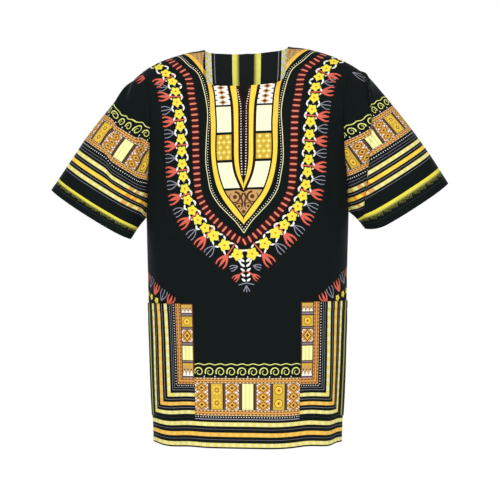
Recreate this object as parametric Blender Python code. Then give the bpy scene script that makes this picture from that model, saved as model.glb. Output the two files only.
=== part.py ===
"""Dashiki shirt, filled out as worn: front, back, two sleeves and two patch pockets.

Metres, +Z up. The front faces -Y. The origin is where the shoulders hold the shirt, midway between the two
neck points and level with them. Each piece is a closed cloth wall. Its outer face is worked out from the
tables below, and its inner face is the same points moved in by the cloth's thickness.
"""

import math

import bpy
import bmesh
from mathutils import Vector

# Driving sizes
SHIRT_LENGTH = 0.788
ARMPIT = -0.332
NECK_HALF_WIDTH = 0.083
FRONT_NECK_DROP = 0.081
FRONT_NECK_CORNER_RISE = 0.014
BACK_NECK_DROP = 0.019
SLIT_LENGTH = 0.100
SLIT_OPEN_LENGTH = 0.030
SLIT_HALF_WIDTH = 0.0075
SLIT_CLOSED_HALF_WIDTH = 0.0006
NECK_CORNER_INSET = 0.003
POCKET_TOP = -0.505
POCKET_BOTTOM = -0.7315
POCKET_INNER_EDGE = 0.107
POCKET_MOUTH_STANDS_OUT = 0.002
CLOTH = 0.0015
POCKET_CLOTH = 0.0012
SEAM_GAP = 0.0003
ARMHOLE_GAP = 0.0005
SEAM_MITRE_LIMIT = 1.5

HEM = -SHIRT_LENGTH

# Body sections. Side is the half width of the panel's own ellipse, round is the half width of the ellipse
# that sets how fast the chest falls away, front and back are the depths from the side seam.
BODY_COLUMNS = ("height", "side", "round", "front", "back")
BODY = (
    (0.030, 0.232, 0.264, 0.086, 0.086),
    (-0.045, 0.229, 0.252, 0.098, 0.100),
    (-0.100, 0.212, 0.232, 0.112, 0.112),
    (-0.160, 0.205, 0.216, 0.122, 0.114),
    (-0.240, 0.203, 0.2065, 0.124, 0.110),
    (ARMPIT, 0.202, 0.202, 0.120, 0.104),
    (-0.450, 0.199, 0.199, 0.116, 0.101),
    (-0.600, 0.196, 0.196, 0.116, 0.105),
    (-0.700, 0.192, 0.192, 0.118, 0.109),
    (-0.800, 0.187, 0.187, 0.119, 0.111),
)

# The shoulder line from the neck out, and how far down it takes the cloth to round over to its full depth
SHOULDER_COLUMNS = ("out", "height", "round_over")
SHOULDER = (
    (0.000, 0.013, 0.200),
    (0.045, 0.010, 0.195),
    (0.083, 0.001, 0.185),
    (0.120, -0.0045, 0.165),
    (0.155, -0.014, 0.145),
    (0.185, -0.026, 0.130),
    (0.213, -0.042, 0.120),
    (0.240, -0.060, 0.115),
)

# The armhole as seen from the front
ARMHOLE_COLUMNS = ("height", "out")
ARMHOLE = (
    (-0.042, 0.213),
    (-0.060, 0.202),
    (-0.090, 0.194),
    (-0.130, 0.191),
    (-0.180, 0.192),
    (-0.230, 0.195),
    (-0.285, 0.199),
    (ARMPIT, 0.202),
)

# Sleeve sections, parallel to the cuff: above is the distance from the cuff, shift moves the section
# outwards along its long axis
CUFF_OUTER = (0.3925, -0.2765)
CUFF_INNER = (0.239, -0.3735)
SLEEVE_COLUMNS = ("above", "shift", "half_width", "half_depth", "forward")
SLEEVE = (
    (0.000, 0.000, 0.0933, 0.042, 0.012),
    (0.060, -0.002, 0.0950, 0.050, 0.010),
    (0.130, -0.004, 0.0940, 0.058, 0.006),
    (0.190, -0.009, 0.0920, 0.062, 0.003),
    (0.260, -0.015, 0.0860, 0.060, 0.001),
    (0.300, -0.024, 0.0800, 0.057, 0.000),
)
CUFF_BOW = 0.006

# How the hanging shirt settles unevenly, as in the photo: its left side hangs lower, both sleeves sit a
# little to the right, the front's centre line a little to the left, and the hem rises at the sides
SIDE_DROP = 0.0065
SLEEVE_SWAY = 0.0065
HEM_SWAY = 0.0025
CENTRE_SWAY = 0.0055
HEM_SIDE_RISE = 0.005

# The largest folds. Around is the distance from the centre line along the cloth, depth is out of the
# shirt, and each fold grows from its start down to the hem.
FOLD_COLUMNS = ("around", "half_width", "depth", "start")
FRONT_FOLDS = (
    (-0.196, 0.022, 0.0030, -0.40),
    (-0.156, 0.025, -0.0035, -0.42),
    (-0.116, 0.026, 0.0025, -0.45),
    (-0.060, 0.034, -0.0020, -0.52),
    (0.052, 0.038, 0.0020, -0.50),
    (0.124, 0.028, -0.0030, -0.43),
    (0.168, 0.025, 0.0032, -0.40),
    (0.206, 0.022, -0.0028, -0.42),
)
BACK_FOLDS = (
    (-0.190, 0.022, -0.0075, -0.36),
    (-0.140, 0.024, 0.0080, -0.30),
    (-0.092, 0.026, -0.0085, -0.33),
    (-0.040, 0.026, 0.0075, -0.36),
    (0.012, 0.026, -0.0080, -0.31),
    (0.066, 0.027, 0.0085, -0.34),
    (0.122, 0.026, -0.0085, -0.30),
    (0.176, 0.024, 0.0075, -0.35),
)
FOLD_FREE_EDGE = 0.030

# Sleeve folds: turn is the angle round the section from its outer end towards the front, in degrees,
# and middle and reach place the fold above the cuff
SLEEVE_FOLD_COLUMNS = ("turn", "spread", "depth", "middle", "reach")
SLEEVE_FOLDS = (
    (118.0, 15.0, -0.0060, 0.120, 0.110),
    (86.0, 16.0, 0.0040, 0.160, 0.100),
    (52.0, 15.0, -0.0035, 0.210, 0.070),
    (236.0, 17.0, -0.0060, 0.120, 0.110),
    (276.0, 18.0, 0.0045, 0.150, 0.100),
    (312.0, 15.0, -0.0035, 0.200, 0.080),
)

# Grid of each wall
NECK_CELLS = 5
SIDE_CELLS = 6
UPPER_ROWS = 18
NECK_CORNER_ROW = 5
ROWS_TO_POCKET = 5
POCKET_ROWS = 6
HEM_ROWS = 2
SLEEVE_ROWS = 10

COLOURS = {
    "cloth_black": (0.012, 0.014, 0.016),
    "cloth_border": (0.55, 0.42, 0.06),
}


def clear_scene():
    for thing in list(bpy.data.objects):
        bpy.data.objects.remove(thing)


def look_up(table, columns, name, at):
    """A smooth curve through one column of a table, read at a value of its first column."""
    rows = sorted(table)
    keys = [row[0] for row in rows]
    values = [row[columns.index(name)] for row in rows]
    if at <= keys[0]:
        return values[0]
    if at >= keys[-1]:
        return values[-1]
    i = max(k for k in range(len(keys) - 1) if keys[k] <= at)
    span = keys[i + 1] - keys[i]
    before, after = max(i - 1, 0), min(i + 2, len(keys) - 1)
    slope_here = (values[i + 1] - values[before]) / (keys[i + 1] - keys[before])
    slope_next = (values[after] - values[i]) / (keys[after] - keys[i])
    t = (at - keys[i]) / span
    return (
        values[i] * (2 * t**3 - 3 * t**2 + 1)
        + slope_here * span * (t**3 - 2 * t**2 + t)
        + values[i + 1] * (3 * t**2 - 2 * t**3)
        + slope_next * span * (t**3 - t**2)
    )


def body(name, height):
    return look_up(BODY, BODY_COLUMNS, name, height)


def shoulder(name, out):
    return look_up(SHOULDER, SHOULDER_COLUMNS, name, abs(out))


def eased(t):
    t = min(max(t, 0.0), 1.0)
    return t * t * (3 - 2 * t)


def girth_table(steps=720):
    """Distances along a quarter of the waist's ellipse, from the centre line to the side seam."""
    side, depth = body("side", -0.5), body("front", -0.5)
    lengths = [0.0]
    for k in range(steps):
        a, b = (math.pi / 2 * (k + j) / steps for j in (0, 1))
        lengths.append(
            lengths[-1]
            + math.hypot(
                side * (math.sin(b) - math.sin(a)), depth * (math.cos(b) - math.cos(a))
            )
        )
    return lengths


GIRTH = girth_table()
QUARTER = GIRTH[-1]


def angle_at(around):
    """The ellipse's angle at a distance along the cloth from the centre line."""
    wanted, low, high = abs(around), 0, len(GIRTH) - 1
    while high - low > 1:
        middle = (low + high) // 2
        if GIRTH[middle] <= wanted:
            low = middle
        else:
            high = middle
    part = (wanted - GIRTH[low]) / (GIRTH[high] - GIRTH[low])
    return math.copysign(math.pi / 2 * (low + part) / (len(GIRTH) - 1), around)


def around_at(out, height):
    """The distance along the cloth of a point that is so far out at this height."""
    angle = math.asin(min(abs(out) / body("side", height), 1.0))
    place = angle / (math.pi / 2) * (len(GIRTH) - 1)
    low = min(int(place), len(GIRTH) - 2)
    length = GIRTH[low] + (place - low) * (GIRTH[low + 1] - GIRTH[low])
    return math.copysign(length, out)


def fold_depth(folds, around, height):
    total = 0.0
    for place, half_width, depth, start in folds:
        grown = eased((start - height) / (start - HEM))
        total += depth * grown * math.exp(-(((around - place) / half_width) ** 2))
    return total * eased((QUARTER - abs(around)) / FOLD_FREE_EDGE)


def out_at(around, height):
    return body("side", height) * math.sin(angle_at(around))


def body_point(face, around, height):
    """A point of the body's outer face. Face is front or back."""
    away = -1 if face == "front" else 1
    out = out_at(around, height)
    depth = body(face, height)
    fallen = math.sqrt(max(0.0, 1 - (out / body("round", height)) ** 2))
    rounded = (shoulder("height", out) - height) / shoulder("round_over", out)
    rounded = math.sqrt(max(0.0, 1 - (1 - min(max(rounded, 0.0), 1.0)) ** 2))
    point = Vector((out, away * depth * fallen * rounded, height))
    folds = FRONT_FOLDS if face == "front" else BACK_FOLDS
    outwards = Vector((out / body("side", height) ** 2, point.y / depth**2, 0))
    if outwards.length > 0:
        point += outwards.normalized() * fold_depth(folds, around, height)
    return point


def settled(point):
    """Where a point of the evenly made shirt ends up as it hangs."""
    x, y, z = point
    upper = eased((z + 0.62) / 0.25)
    sleeve_share = eased((abs(x) - 0.17) / 0.08) * upper
    centre_share = eased(-y / 0.06) * eased((z + 0.52) / 0.2) * math.exp(-((x / 0.12) ** 2))
    moved = Vector((x, y, z + SIDE_DROP * math.tanh(x / 0.15) * upper))
    moved.x += SLEEVE_SWAY * sleeve_share + HEM_SWAY * (1 - upper)
    moved.x -= CENTRE_SWAY * centre_share
    return moved


def upper_rows():
    """Shares of the way from the shoulder down to the armpit, close together at both ends."""
    return [(1 - math.cos(math.pi * j / UPPER_ROWS)) / 2 for j in range(UPPER_ROWS + 1)]


def lower_rows():
    """Heights from below the armpit to the hem, with rows on the pocket's edges."""
    heights = []
    stretches = (
        (ARMPIT, POCKET_TOP, ROWS_TO_POCKET),
        (POCKET_TOP, POCKET_BOTTOM, POCKET_ROWS),
        (POCKET_BOTTOM, HEM, HEM_ROWS),
    )
    for top, bottom, count in stretches:
        heights += [top + (bottom - top) * k / count for k in range(1, count + 1)]
    return heights


def edge_out(height):
    """How far out the panel reaches at a height above the armpit."""
    return look_up(ARMHOLE, ARMHOLE_COLUMNS, "out", height)


def column_around(column, height, edge):
    """The distance along the cloth of a grid column, from the centre line out to the edge."""
    neck = around_at(NECK_HALF_WIDTH, height)
    k = abs(column)
    if k <= NECK_CELLS:
        return math.copysign(neck * k / NECK_CELLS, column)
    first = (POCKET_INNER_EDGE - around_at(NECK_HALF_WIDTH, POCKET_TOP)) / (
        QUARTER - around_at(NECK_HALF_WIDTH, POCKET_TOP)
    )
    share = first + (1 - first) * (k - NECK_CELLS - 1) / SIDE_CELLS
    return math.copysign(neck + share * (edge - neck), column)


def front_neckline(out):
    """The height of the front neckline's lower edge, which rises a little towards its corners."""
    return -FRONT_NECK_DROP + FRONT_NECK_CORNER_RISE * (abs(out) / NECK_HALF_WIDTH) ** 4


def back_neckline(out):
    share = max(0.0, 1 - (out / NECK_HALF_WIDTH) ** 2)
    return shoulder("height", out) - BACK_NECK_DROP * share**0.75


def upper_place(face, column, row):
    """(distance along the cloth, height) of a grid point between the shoulder and the armpit."""
    share = upper_rows()[row]
    tip = ARMHOLE[0][0]
    edge_height = tip + (ARMPIT - tip) * share
    edge = around_at(edge_out(edge_height), edge_height)
    height = edge_height
    for _ in range(4):
        around = column_around(column, height, edge)
        out = out_at(around, height)
        top = shoulder("height", out)
        if face == "back" and abs(column) < NECK_CELLS:
            top = back_neckline(out)
        height = top + (ARMPIT - top) * share
    if face == "front" and abs(column) < NECK_CELLS:
        corner_share = upper_rows()[NECK_CORNER_ROW]
        top = front_neckline(out)
        height = top + (ARMPIT - top) * (share - corner_share) / (1 - corner_share)
    return around, height


def panel_grid(face):
    """The outer points of the front or back as {(column, row): point}."""
    half = NECK_CELLS + 1 + SIDE_CELLS
    grid = {}
    for column in range(-half, half + 1):
        for row in range(UPPER_ROWS + 1):
            over_neck = face == "front" and abs(column) < NECK_CELLS
            if over_neck and row < NECK_CORNER_ROW:
                continue
            around, height = upper_place(face, column, row)
            grid[column, row] = body_point(face, around, height)
        for k, height in enumerate(lower_rows()):
            around = column_around(column, height, QUARTER)
            point = body_point(face, around, height)
            near_hem = max(0.0, POCKET_BOTTOM - height) / (POCKET_BOTTOM - HEM)
            point.z += HEM_SIDE_RISE * near_hem * abs(column / half) ** 3
            grid[column, UPPER_ROWS + 1 + k] = point
    return grid


def mirrored_in_y(point):
    return Vector((point.x, -point.y, point.z))


def panel_normals(face, grid):
    """Outward directions. Across a seam the neighbour is this panel's own point, mirrored."""
    half = NECK_CELLS + 1 + SIDE_CELLS
    away = -1 if face == "front" else 1
    normals = {}
    for (column, row), here in grid.items():
        left = grid.get((column - 1, row))
        right = grid.get((column + 1, row))
        above = grid.get((column, row - 1))
        below = grid.get((column, row + 1))
        at_side_seam = abs(column) == half and row >= UPPER_ROWS
        if at_side_seam and column > 0:
            right = mirrored_in_y(left)
        elif at_side_seam:
            left = mirrored_in_y(right)
        if row == 0 and abs(column) >= NECK_CELLS:
            above = mirrored_in_y(below)
        across = (right or here) - (left or here)
        down = (below or here) - (above or here)
        normals[column, row] = (across.cross(down) * away).normalized()
    return normals


def close_seams(face, grid):
    """Moves the points on the shoulder and side seams back by half of the gap between two pieces."""
    half = NECK_CELLS + 1 + SIDE_CELLS
    away = -1 if face == "front" else 1
    for (column, row), point in grid.items():
        on_shoulder = row == 0 and abs(column) >= NECK_CELLS
        on_side = abs(column) == half and row >= UPPER_ROWS
        if on_shoulder or on_side:
            point.y = away * SEAM_GAP / 2


def slit_half_width(height):
    """Half the slit's width: an open V at the neckline, then almost closed."""
    below = -FRONT_NECK_DROP - height
    open_share = max(0.0, 1 - below / SLIT_OPEN_LENGTH)
    return SLIT_CLOSED_HALF_WIDTH + SLIT_HALF_WIDTH * open_share


def front_faces(grid):
    """The front's faces as corner keys. On the slit the centre line has a left and a right point."""
    split = {}
    for (column, row), point in list(grid.items()):
        if column == 0 and point.z > -FRONT_NECK_DROP - SLIT_LENGTH:
            split[row] = point
    for row, point in split.items():
        half = slit_half_width(point.z)
        grid["left", row] = point - Vector((half, 0, 0))
        grid["right", row] = point + Vector((half, 0, 0))
    faces = []
    for corners in grid_faces([k for k in grid if k[0] not in ("left", "right")]):
        side = "right" if max(c for c, _ in corners) > 0 else "left"
        faces.append(
            tuple((side, r) if c == 0 and r in split else (c, r) for c, r in corners)
        )
    return faces


def grid_faces(keys):
    keys = set(keys)
    faces = []
    for column, row in sorted(keys):
        corners = (
            (column, row),
            (column, row + 1),
            (column + 1, row + 1),
            (column + 1, row),
        )
        if all(corner in keys for corner in corners):
            faces.append(corners)
    return faces


def wall(name, points, inwards, faces, colour):
    """A closed wall from outer points, the way in from each, and the outer face's quads.

    Every quad is split on the same diagonal, so walls made from the same points stay parallel.
    """
    mesh = bpy.data.meshes.new(name)
    sheet = bmesh.new()
    used = sorted({key for face in faces for key in face}, key=str)
    outer = {key: sheet.verts.new(settled(points[key])) for key in used}
    inner = {k: sheet.verts.new(settled(points[k] + inwards[k])) for k in used}
    edges = set()
    for a, b, c, d in faces:
        for corners in ((a, b, c), (a, c, d)):
            sheet.faces.new([outer[key] for key in corners])
            sheet.faces.new([inner[key] for key in reversed(corners)])
        edges.update(((a, b), (b, c), (c, d), (d, a)))
    for a, b in edges:
        if (b, a) not in edges:
            sheet.faces.new((outer[b], outer[a], inner[a]))
            sheet.faces.new((outer[b], inner[a], inner[b]))
    bmesh.ops.recalc_face_normals(sheet, faces=sheet.faces)
    sheet.to_mesh(mesh)
    sheet.free()
    mesh.shade_smooth()
    mesh.set_sharp_from_angle(angle=math.radians(50))
    mesh.materials.append(cloth_material(colour))
    thing = bpy.data.objects.new(name, mesh)
    shirt_collection().objects.link(thing)
    return thing


def shirt_collection():
    found = bpy.data.collections.get("dashiki_shirt")
    if found is None:
        found = bpy.data.collections.new("dashiki_shirt")
        bpy.context.scene.collection.children.link(found)
    return found


def cloth_material(name):
    found = bpy.data.materials.get(name)
    if found is None:
        found = bpy.data.materials.new(name)
        found.use_nodes = True
        shader = found.node_tree.nodes["Principled BSDF"]
        shader.inputs["Base Color"].default_value = (*COLOURS[name], 1)
        shader.inputs["Roughness"].default_value = 0.85
        shader.inputs["Metallic"].default_value = 0.0
    return found


def armhole_keys():
    """(face, row) round the right armhole, from the shoulder down the front and up the back."""
    down = [("front", row) for row in range(UPPER_ROWS + 1)]
    return down + [("back", row) for row in range(UPPER_ROWS - 1, 0, -1)]


def sleeve_frame():
    """The cuff's middle, its direction from the inner to the outer end, and the way up the sleeve."""
    outer = Vector((CUFF_OUTER[0], 0, CUFF_OUTER[1]))
    inner = Vector((CUFF_INNER[0], 0, CUFF_INNER[1]))
    long_way = (outer - inner).normalized()
    return (outer + inner) / 2, long_way, Vector((-long_way.z, 0, long_way.x))


def sleeve(name, above):
    return look_up(SLEEVE, SLEEVE_COLUMNS, name, above)


def sleeve_fold(turn, above):
    total = 0.0
    for place, spread, depth, middle, reach in SLEEVE_FOLDS:
        off = (math.degrees(turn) - place + 180) % 360 - 180
        grown = eased(1 - abs(above - middle) / reach)
        total += depth * math.exp(-((off / spread) ** 2)) * grown
    return total


def tube_point(turn, above):
    """(along the section's long axis, forward, above) of the plain sleeve tube, folds included."""
    half_width, half_depth = sleeve("half_width", above), sleeve("half_depth", above)
    along, forward = half_width * math.cos(turn), half_depth * math.sin(turn)
    out = Vector((along / half_width**2, forward / half_depth**2, 0)).normalized()
    out *= sleeve_fold(turn, above)
    along += sleeve("shift", above) + out.x
    return Vector((along, sleeve("forward", above) + forward + out.y, above))


def sleeve_rings(armhole):
    """The right sleeve's outer points by (column, row), from the armhole to the cuff."""
    middle, long_way, up = sleeve_frame()
    rings = {}
    for column, seam in enumerate(armhole):
        local = seam - middle
        top = local.dot(up)
        seam_place = Vector((local.dot(long_way), -seam.y, top))
        turn = math.atan2(
            (seam_place.y - sleeve("forward", top)) / sleeve("half_depth", top),
            (seam_place.x - sleeve("shift", top)) / sleeve("half_width", top),
        )
        missing = seam_place - tube_point(turn, top)
        for row in range(SLEEVE_ROWS + 1):
            share = row / SLEEVE_ROWS
            above = top * (1 - share)
            place = tube_point(turn, above) + missing * (1 - share) ** 3
            height = above - CUFF_BOW * math.sin(turn) * share
            point = middle + long_way * place.x + up * height
            rings[column, row] = point - Vector((0, place.y, 0))
    return rings


def ring_normals(rings, count):
    normals = {}
    for (column, row), here in rings.items():
        after = rings[(column + 1) % count, row]
        before = rings[(column - 1) % count, row]
        above = rings.get((column, row - 1), here)
        below = rings.get((column, row + 1), here)
        normals[column, row] = (after - before).cross(below - above).normalized()
    return normals


def armhole_seam(armhole, panel_side, sleeve_side):
    """At each armhole point, how far in the mitred edge goes and the way across to the sleeve."""
    inwards, across = [], []
    count = len(armhole)
    for column in range(count):
        along = armhole[(column + 1) % count] - armhole[column - 1]
        from_panel, from_sleeve = panel_side[column], sleeve_side[column]
        share = eased((from_panel.dot(from_sleeve) - 0.2) / 0.4)
        mean = (from_panel + from_sleeve).normalized()
        outward = from_panel.lerp(mean, share).normalized()
        longer = min(1 / max(outward.dot(from_panel), 0.1), SEAM_MITRE_LIMIT)
        inwards.append(outward * -CLOTH * longer)
        across.append(outward.cross(along).normalized())
    return inwards, across


def make_panel(face, grid, normals, seam_inwards):
    half = NECK_CELLS + 1 + SIDE_CELLS
    inwards = {key: normal * -CLOTH for key, normal in normals.items()}
    for column, (own_face, row) in enumerate(armhole_keys()):
        if own_face == face or row in (0, UPPER_ROWS):
            inward = seam_inwards[column]
            for side in (-1, 1):
                inwards[side * half, row] = Vector((side * inward.x, inward.y, inward.z))
    close_seams(face, grid)
    if face == "front":
        faces = front_faces(grid)
        for key in grid:
            if key[0] in ("left", "right"):
                inwards[key] = inwards[0, key[1]]
    else:
        faces = grid_faces(grid)
    wall(face, grid, inwards, faces, "cloth_black")


def make_pockets(grid, normals):
    """Two patch pockets, made from the front's own points moved out."""
    first_row = UPPER_ROWS + ROWS_TO_POCKET
    last_column = NECK_CELLS + 1 + SIDE_CELLS
    for name, side in (("pocket_left", -1), ("pocket_right", 1)):
        points, inwards = {}, {}
        for k in range(NECK_CELLS + 1, last_column + 1):
            for row in range(first_row, first_row + POCKET_ROWS + 1):
                key = (side * k, row)
                across = (k - NECK_CELLS - 1) / SIDE_CELLS
                down = (row - first_row) / POCKET_ROWS
                mouth = max(0.0, 1 - 3 * down) * math.sin(math.pi * across)
                lift = SEAM_GAP + POCKET_MOUTH_STANDS_OUT * mouth
                points[key] = grid[key] + normals[key] * (lift + POCKET_CLOTH)
                inwards[key] = normals[key] * -POCKET_CLOTH
        wall(name, points, inwards, grid_faces(points), "cloth_border")


def make_sleeves(rings, normals, seam_inwards, across):
    count = len(across)
    inwards = {key: normal * -CLOTH for key, normal in normals.items()}
    points = dict(rings)
    for column in range(count):
        inwards[column, 0] = seam_inwards[column]
        points[column, 0] = rings[column, 0] + across[column] * ARMHOLE_GAP
    faces = []
    for column in range(count):
        after = (column + 1) % count
        for row in range(SLEEVE_ROWS):
            faces.append(
                ((column, row), (after, row), (after, row + 1), (column, row + 1))
            )
    for name, side in (("sleeve_left", -1), ("sleeve_right", 1)):
        own_points = {k: Vector((side * p.x, p.y, p.z)) for k, p in points.items()}
        own_inwards = {k: Vector((side * p.x, p.y, p.z)) for k, p in inwards.items()}
        wall(name, own_points, own_inwards, faces, "cloth_black")


def main():
    clear_scene()
    half = NECK_CELLS + 1 + SIDE_CELLS
    grids = {face: panel_grid(face) for face in ("front", "back")}
    for side in (-1, 1):
        grids["front"][side * NECK_CELLS, NECK_CORNER_ROW].x -= side * NECK_CORNER_INSET
    normals = {face: panel_normals(face, grids[face]) for face in grids}
    armhole = [grids[face][half, row].copy() for face, row in armhole_keys()]
    panel_side = [normals[face][half, row] for face, row in armhole_keys()]
    rings = sleeve_rings(armhole)
    sleeve_normals = ring_normals(rings, len(armhole))
    sleeve_side = [sleeve_normals[column, 0] for column in range(len(armhole))]
    seam_inwards, across = armhole_seam(armhole, panel_side, sleeve_side)
    for face in grids:
        make_panel(face, grids[face], normals[face], seam_inwards)
    make_pockets(grids["front"], normals["front"])
    make_sleeves(rings, sleeve_normals, seam_inwards, across)


main()
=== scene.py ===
"""The dashiki shirt's looks: its cloth, print, folds, hems and stitches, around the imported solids.

Each piece of cloth is drawn flat, in millimetres on the cloth, then triangulated along every edge of its
print and laid on the same surface as its solid. The print's colours are kept on the mesh's corners.
"""

import math

import bpy
import numpy as np
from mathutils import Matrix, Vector
from mathutils.geometry import delaunay_2d_cdt


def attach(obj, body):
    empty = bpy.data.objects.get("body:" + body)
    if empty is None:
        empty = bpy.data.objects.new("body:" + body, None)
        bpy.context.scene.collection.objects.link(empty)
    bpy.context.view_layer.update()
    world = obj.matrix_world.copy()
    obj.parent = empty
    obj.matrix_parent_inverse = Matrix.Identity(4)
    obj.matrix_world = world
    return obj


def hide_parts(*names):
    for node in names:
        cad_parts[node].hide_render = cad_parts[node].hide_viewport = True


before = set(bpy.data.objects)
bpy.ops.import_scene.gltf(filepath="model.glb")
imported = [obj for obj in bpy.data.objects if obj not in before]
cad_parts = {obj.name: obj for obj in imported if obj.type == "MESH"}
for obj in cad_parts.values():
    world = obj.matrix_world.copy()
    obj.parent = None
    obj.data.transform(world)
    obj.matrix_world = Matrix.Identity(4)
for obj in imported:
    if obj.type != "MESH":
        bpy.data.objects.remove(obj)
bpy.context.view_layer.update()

# The shirt's own sizes, as in its solids
SHIRT_LENGTH = 0.788
HEM = -SHIRT_LENGTH
ARMPIT = -0.332
NECK_HALF_WIDTH = 0.083
FRONT_NECK_DROP = 0.081
BACK_NECK_DROP = 0.019
SLIT_LENGTH = 0.100
SLIT_OPEN_LENGTH = 0.030
SLIT_HALF_WIDTH = 0.0075
SLIT_CLOSED_HALF_WIDTH = 0.0006
POCKET_TOP = -0.505
POCKET_BOTTOM = -0.7315
POCKET_INNER_EDGE = 0.107
CLOTH = 0.0012
POCKET_GAP = 0.0003
POCKET_MOUTH_STANDS_OUT = 0.002
CUFF_OUTER = (0.3925, -0.2765)
CUFF_INNER = (0.239, -0.3735)
CUFF_BOW = 0.006
SIDE_DROP = 0.0065
SLEEVE_SWAY = 0.0065
HEM_SWAY = 0.0025
CENTRE_SWAY = 0.0055
HEM_SIDE_RISE = 0.005
FOLD_FREE_EDGE = 0.030
GIRTH_HEIGHT = -0.5

BODY_COLUMNS = ("height", "side", "round", "front", "back")
BODY = (
    (0.030, 0.232, 0.264, 0.086, 0.086),
    (-0.045, 0.229, 0.252, 0.098, 0.100),
    (-0.100, 0.212, 0.232, 0.112, 0.112),
    (-0.160, 0.205, 0.216, 0.122, 0.114),
    (-0.240, 0.203, 0.2065, 0.124, 0.110),
    (ARMPIT, 0.202, 0.202, 0.120, 0.104),
    (-0.450, 0.199, 0.199, 0.116, 0.101),
    (-0.600, 0.196, 0.196, 0.116, 0.105),
    (-0.700, 0.192, 0.192, 0.118, 0.109),
    (-0.800, 0.187, 0.187, 0.119, 0.111),
)
SHOULDER_COLUMNS = ("out", "height", "round_over")
SHOULDER = (
    (0.000, 0.013, 0.200),
    (0.045, 0.010, 0.195),
    (0.083, 0.001, 0.185),
    (0.120, -0.0045, 0.165),
    (0.155, -0.014, 0.145),
    (0.185, -0.026, 0.130),
    (0.213, -0.042, 0.120),
    (0.240, -0.060, 0.115),
)
ARMHOLE_COLUMNS = ("height", "out")
ARMHOLE = (
    (-0.042, 0.213),
    (-0.060, 0.202),
    (-0.090, 0.194),
    (-0.130, 0.191),
    (-0.180, 0.192),
    (-0.230, 0.195),
    (-0.285, 0.199),
    (ARMPIT, 0.202),
)
SLEEVE_COLUMNS = ("above", "shift", "half_width", "half_depth", "forward")
SLEEVE = (
    (0.000, 0.000, 0.0933, 0.042, 0.012),
    (0.060, -0.002, 0.0950, 0.050, 0.010),
    (0.130, -0.004, 0.0940, 0.058, 0.006),
    (0.190, -0.009, 0.0920, 0.062, 0.003),
    (0.260, -0.015, 0.0860, 0.060, 0.001),
    (0.300, -0.024, 0.0800, 0.057, 0.000),
)
# Folds of the lower body: place round it, half width, depth, and the height where they start
FRONT_FOLDS = (
    (-0.196, 0.022, 0.0030, -0.40),
    (-0.156, 0.025, -0.0035, -0.42),
    (-0.116, 0.026, 0.0025, -0.45),
    (-0.060, 0.034, -0.0020, -0.52),
    (0.052, 0.038, 0.0020, -0.50),
    (0.124, 0.028, -0.0030, -0.43),
    (0.168, 0.025, 0.0032, -0.40),
    (0.206, 0.022, -0.0028, -0.42),
)
BACK_FOLDS = (
    (-0.190, 0.022, -0.0075, -0.36),
    (-0.140, 0.024, 0.0080, -0.30),
    (-0.092, 0.026, -0.0085, -0.33),
    (-0.040, 0.026, 0.0075, -0.36),
    (0.012, 0.026, -0.0080, -0.31),
    (0.066, 0.027, 0.0085, -0.34),
    (0.122, 0.026, -0.0085, -0.30),
    (0.176, 0.024, 0.0075, -0.35),
)
# Folds of the sleeves: turn round it, spread in degrees, depth, middle and reach above the cuff
SLEEVE_FOLDS = (
    (118.0, 15.0, -0.0060, 0.120, 0.110),
    (86.0, 16.0, 0.0040, 0.160, 0.100),
    (52.0, 15.0, -0.0035, 0.210, 0.070),
    (236.0, 17.0, -0.0060, 0.120, 0.110),
    (276.0, 18.0, 0.0045, 0.150, 0.100),
    (312.0, 15.0, -0.0035, 0.200, 0.080),
)

# The cloth over the shoulders is measured in a table: flat points above ROLL_OVER are read from it
ROLL_OVER = -0.25
TABLE_COLUMNS = 201
TABLE_ROWS = 241
# How far off the points lie that give the cloth's slope
PROBE = 0.0006

# The dyes, as linear light
INK = {
    "black": (0.0045, 0.0070, 0.0072),
    "yellow": (0.84, 0.58, 0.062),
    "cream": (0.90, 0.86, 0.52),
    "ivory": (0.78, 0.80, 0.57),
    "white": (0.82, 0.81, 0.76),
    "pale": (0.69, 0.70, 0.20),
    "lime": (0.36, 0.36, 0.07),
    "lemon": (0.76, 0.66, 0.060),
    "orange": (0.74, 0.34, 0.05),
    "deep": (0.66, 0.17, 0.016),
    "coral": (0.62, 0.120, 0.078),
    "salmon": (0.60, 0.185, 0.120),
    "maroon": (0.045, 0.005, 0.006),
    "tan": (0.50, 0.285, 0.105),
    "straw": (0.70, 0.61, 0.16),
    "amber": (0.76, 0.42, 0.065),
    "gold": (0.58, 0.37, 0.045),
    "grey": (0.24, 0.235, 0.29),
    "brown": (0.085, 0.030, 0.014),
    "bright": (0.94, 0.86, 0.16),
    "snow": (0.95, 0.95, 0.80),
    "line": (0.22, 0.21, 0.23),
}
# The longest straight edge of the print, and the pitches of what it repeats, in millimetres
LONGEST_EDGE = 7.0
DOT_PITCH = 5.2
TOOTH_PITCH = 7.2
LUMP_PITCH = 15.5
BLOCK_PITCH = 31.0
SCROLL_PITCH = 21.5
BAR_PITCH = 11.6

# How much of the inks' strength the outer face, the inside and the cut edges show. The inside is painted
# lighter than the outer face, and lifted, as painted light where shade falls inside the shirt
OUTSIDE_DYE = 0.74
INSIDE_PAINTED_LIGHT = 1.15
INSIDE_PAINTED_LIFT = 0.010
RIM_DYE = 0.6
# Above its foot the left sleeve's print is stretched up a little
LEFT_PRINT_FOOT = 50
LEFT_PRINT_STRETCH = 0.05

# The right half of the front neckline in space: out from the centre line, and height
NECKLINE = (
    (0.083, 0.001),
    (0.0825, -0.03),
    (0.080, -0.0585),
    (0.0745, -0.0705),
    (0.0664, -0.0755),
    (0.045, -0.0795),
    (0.0081, -0.081),
)

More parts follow.
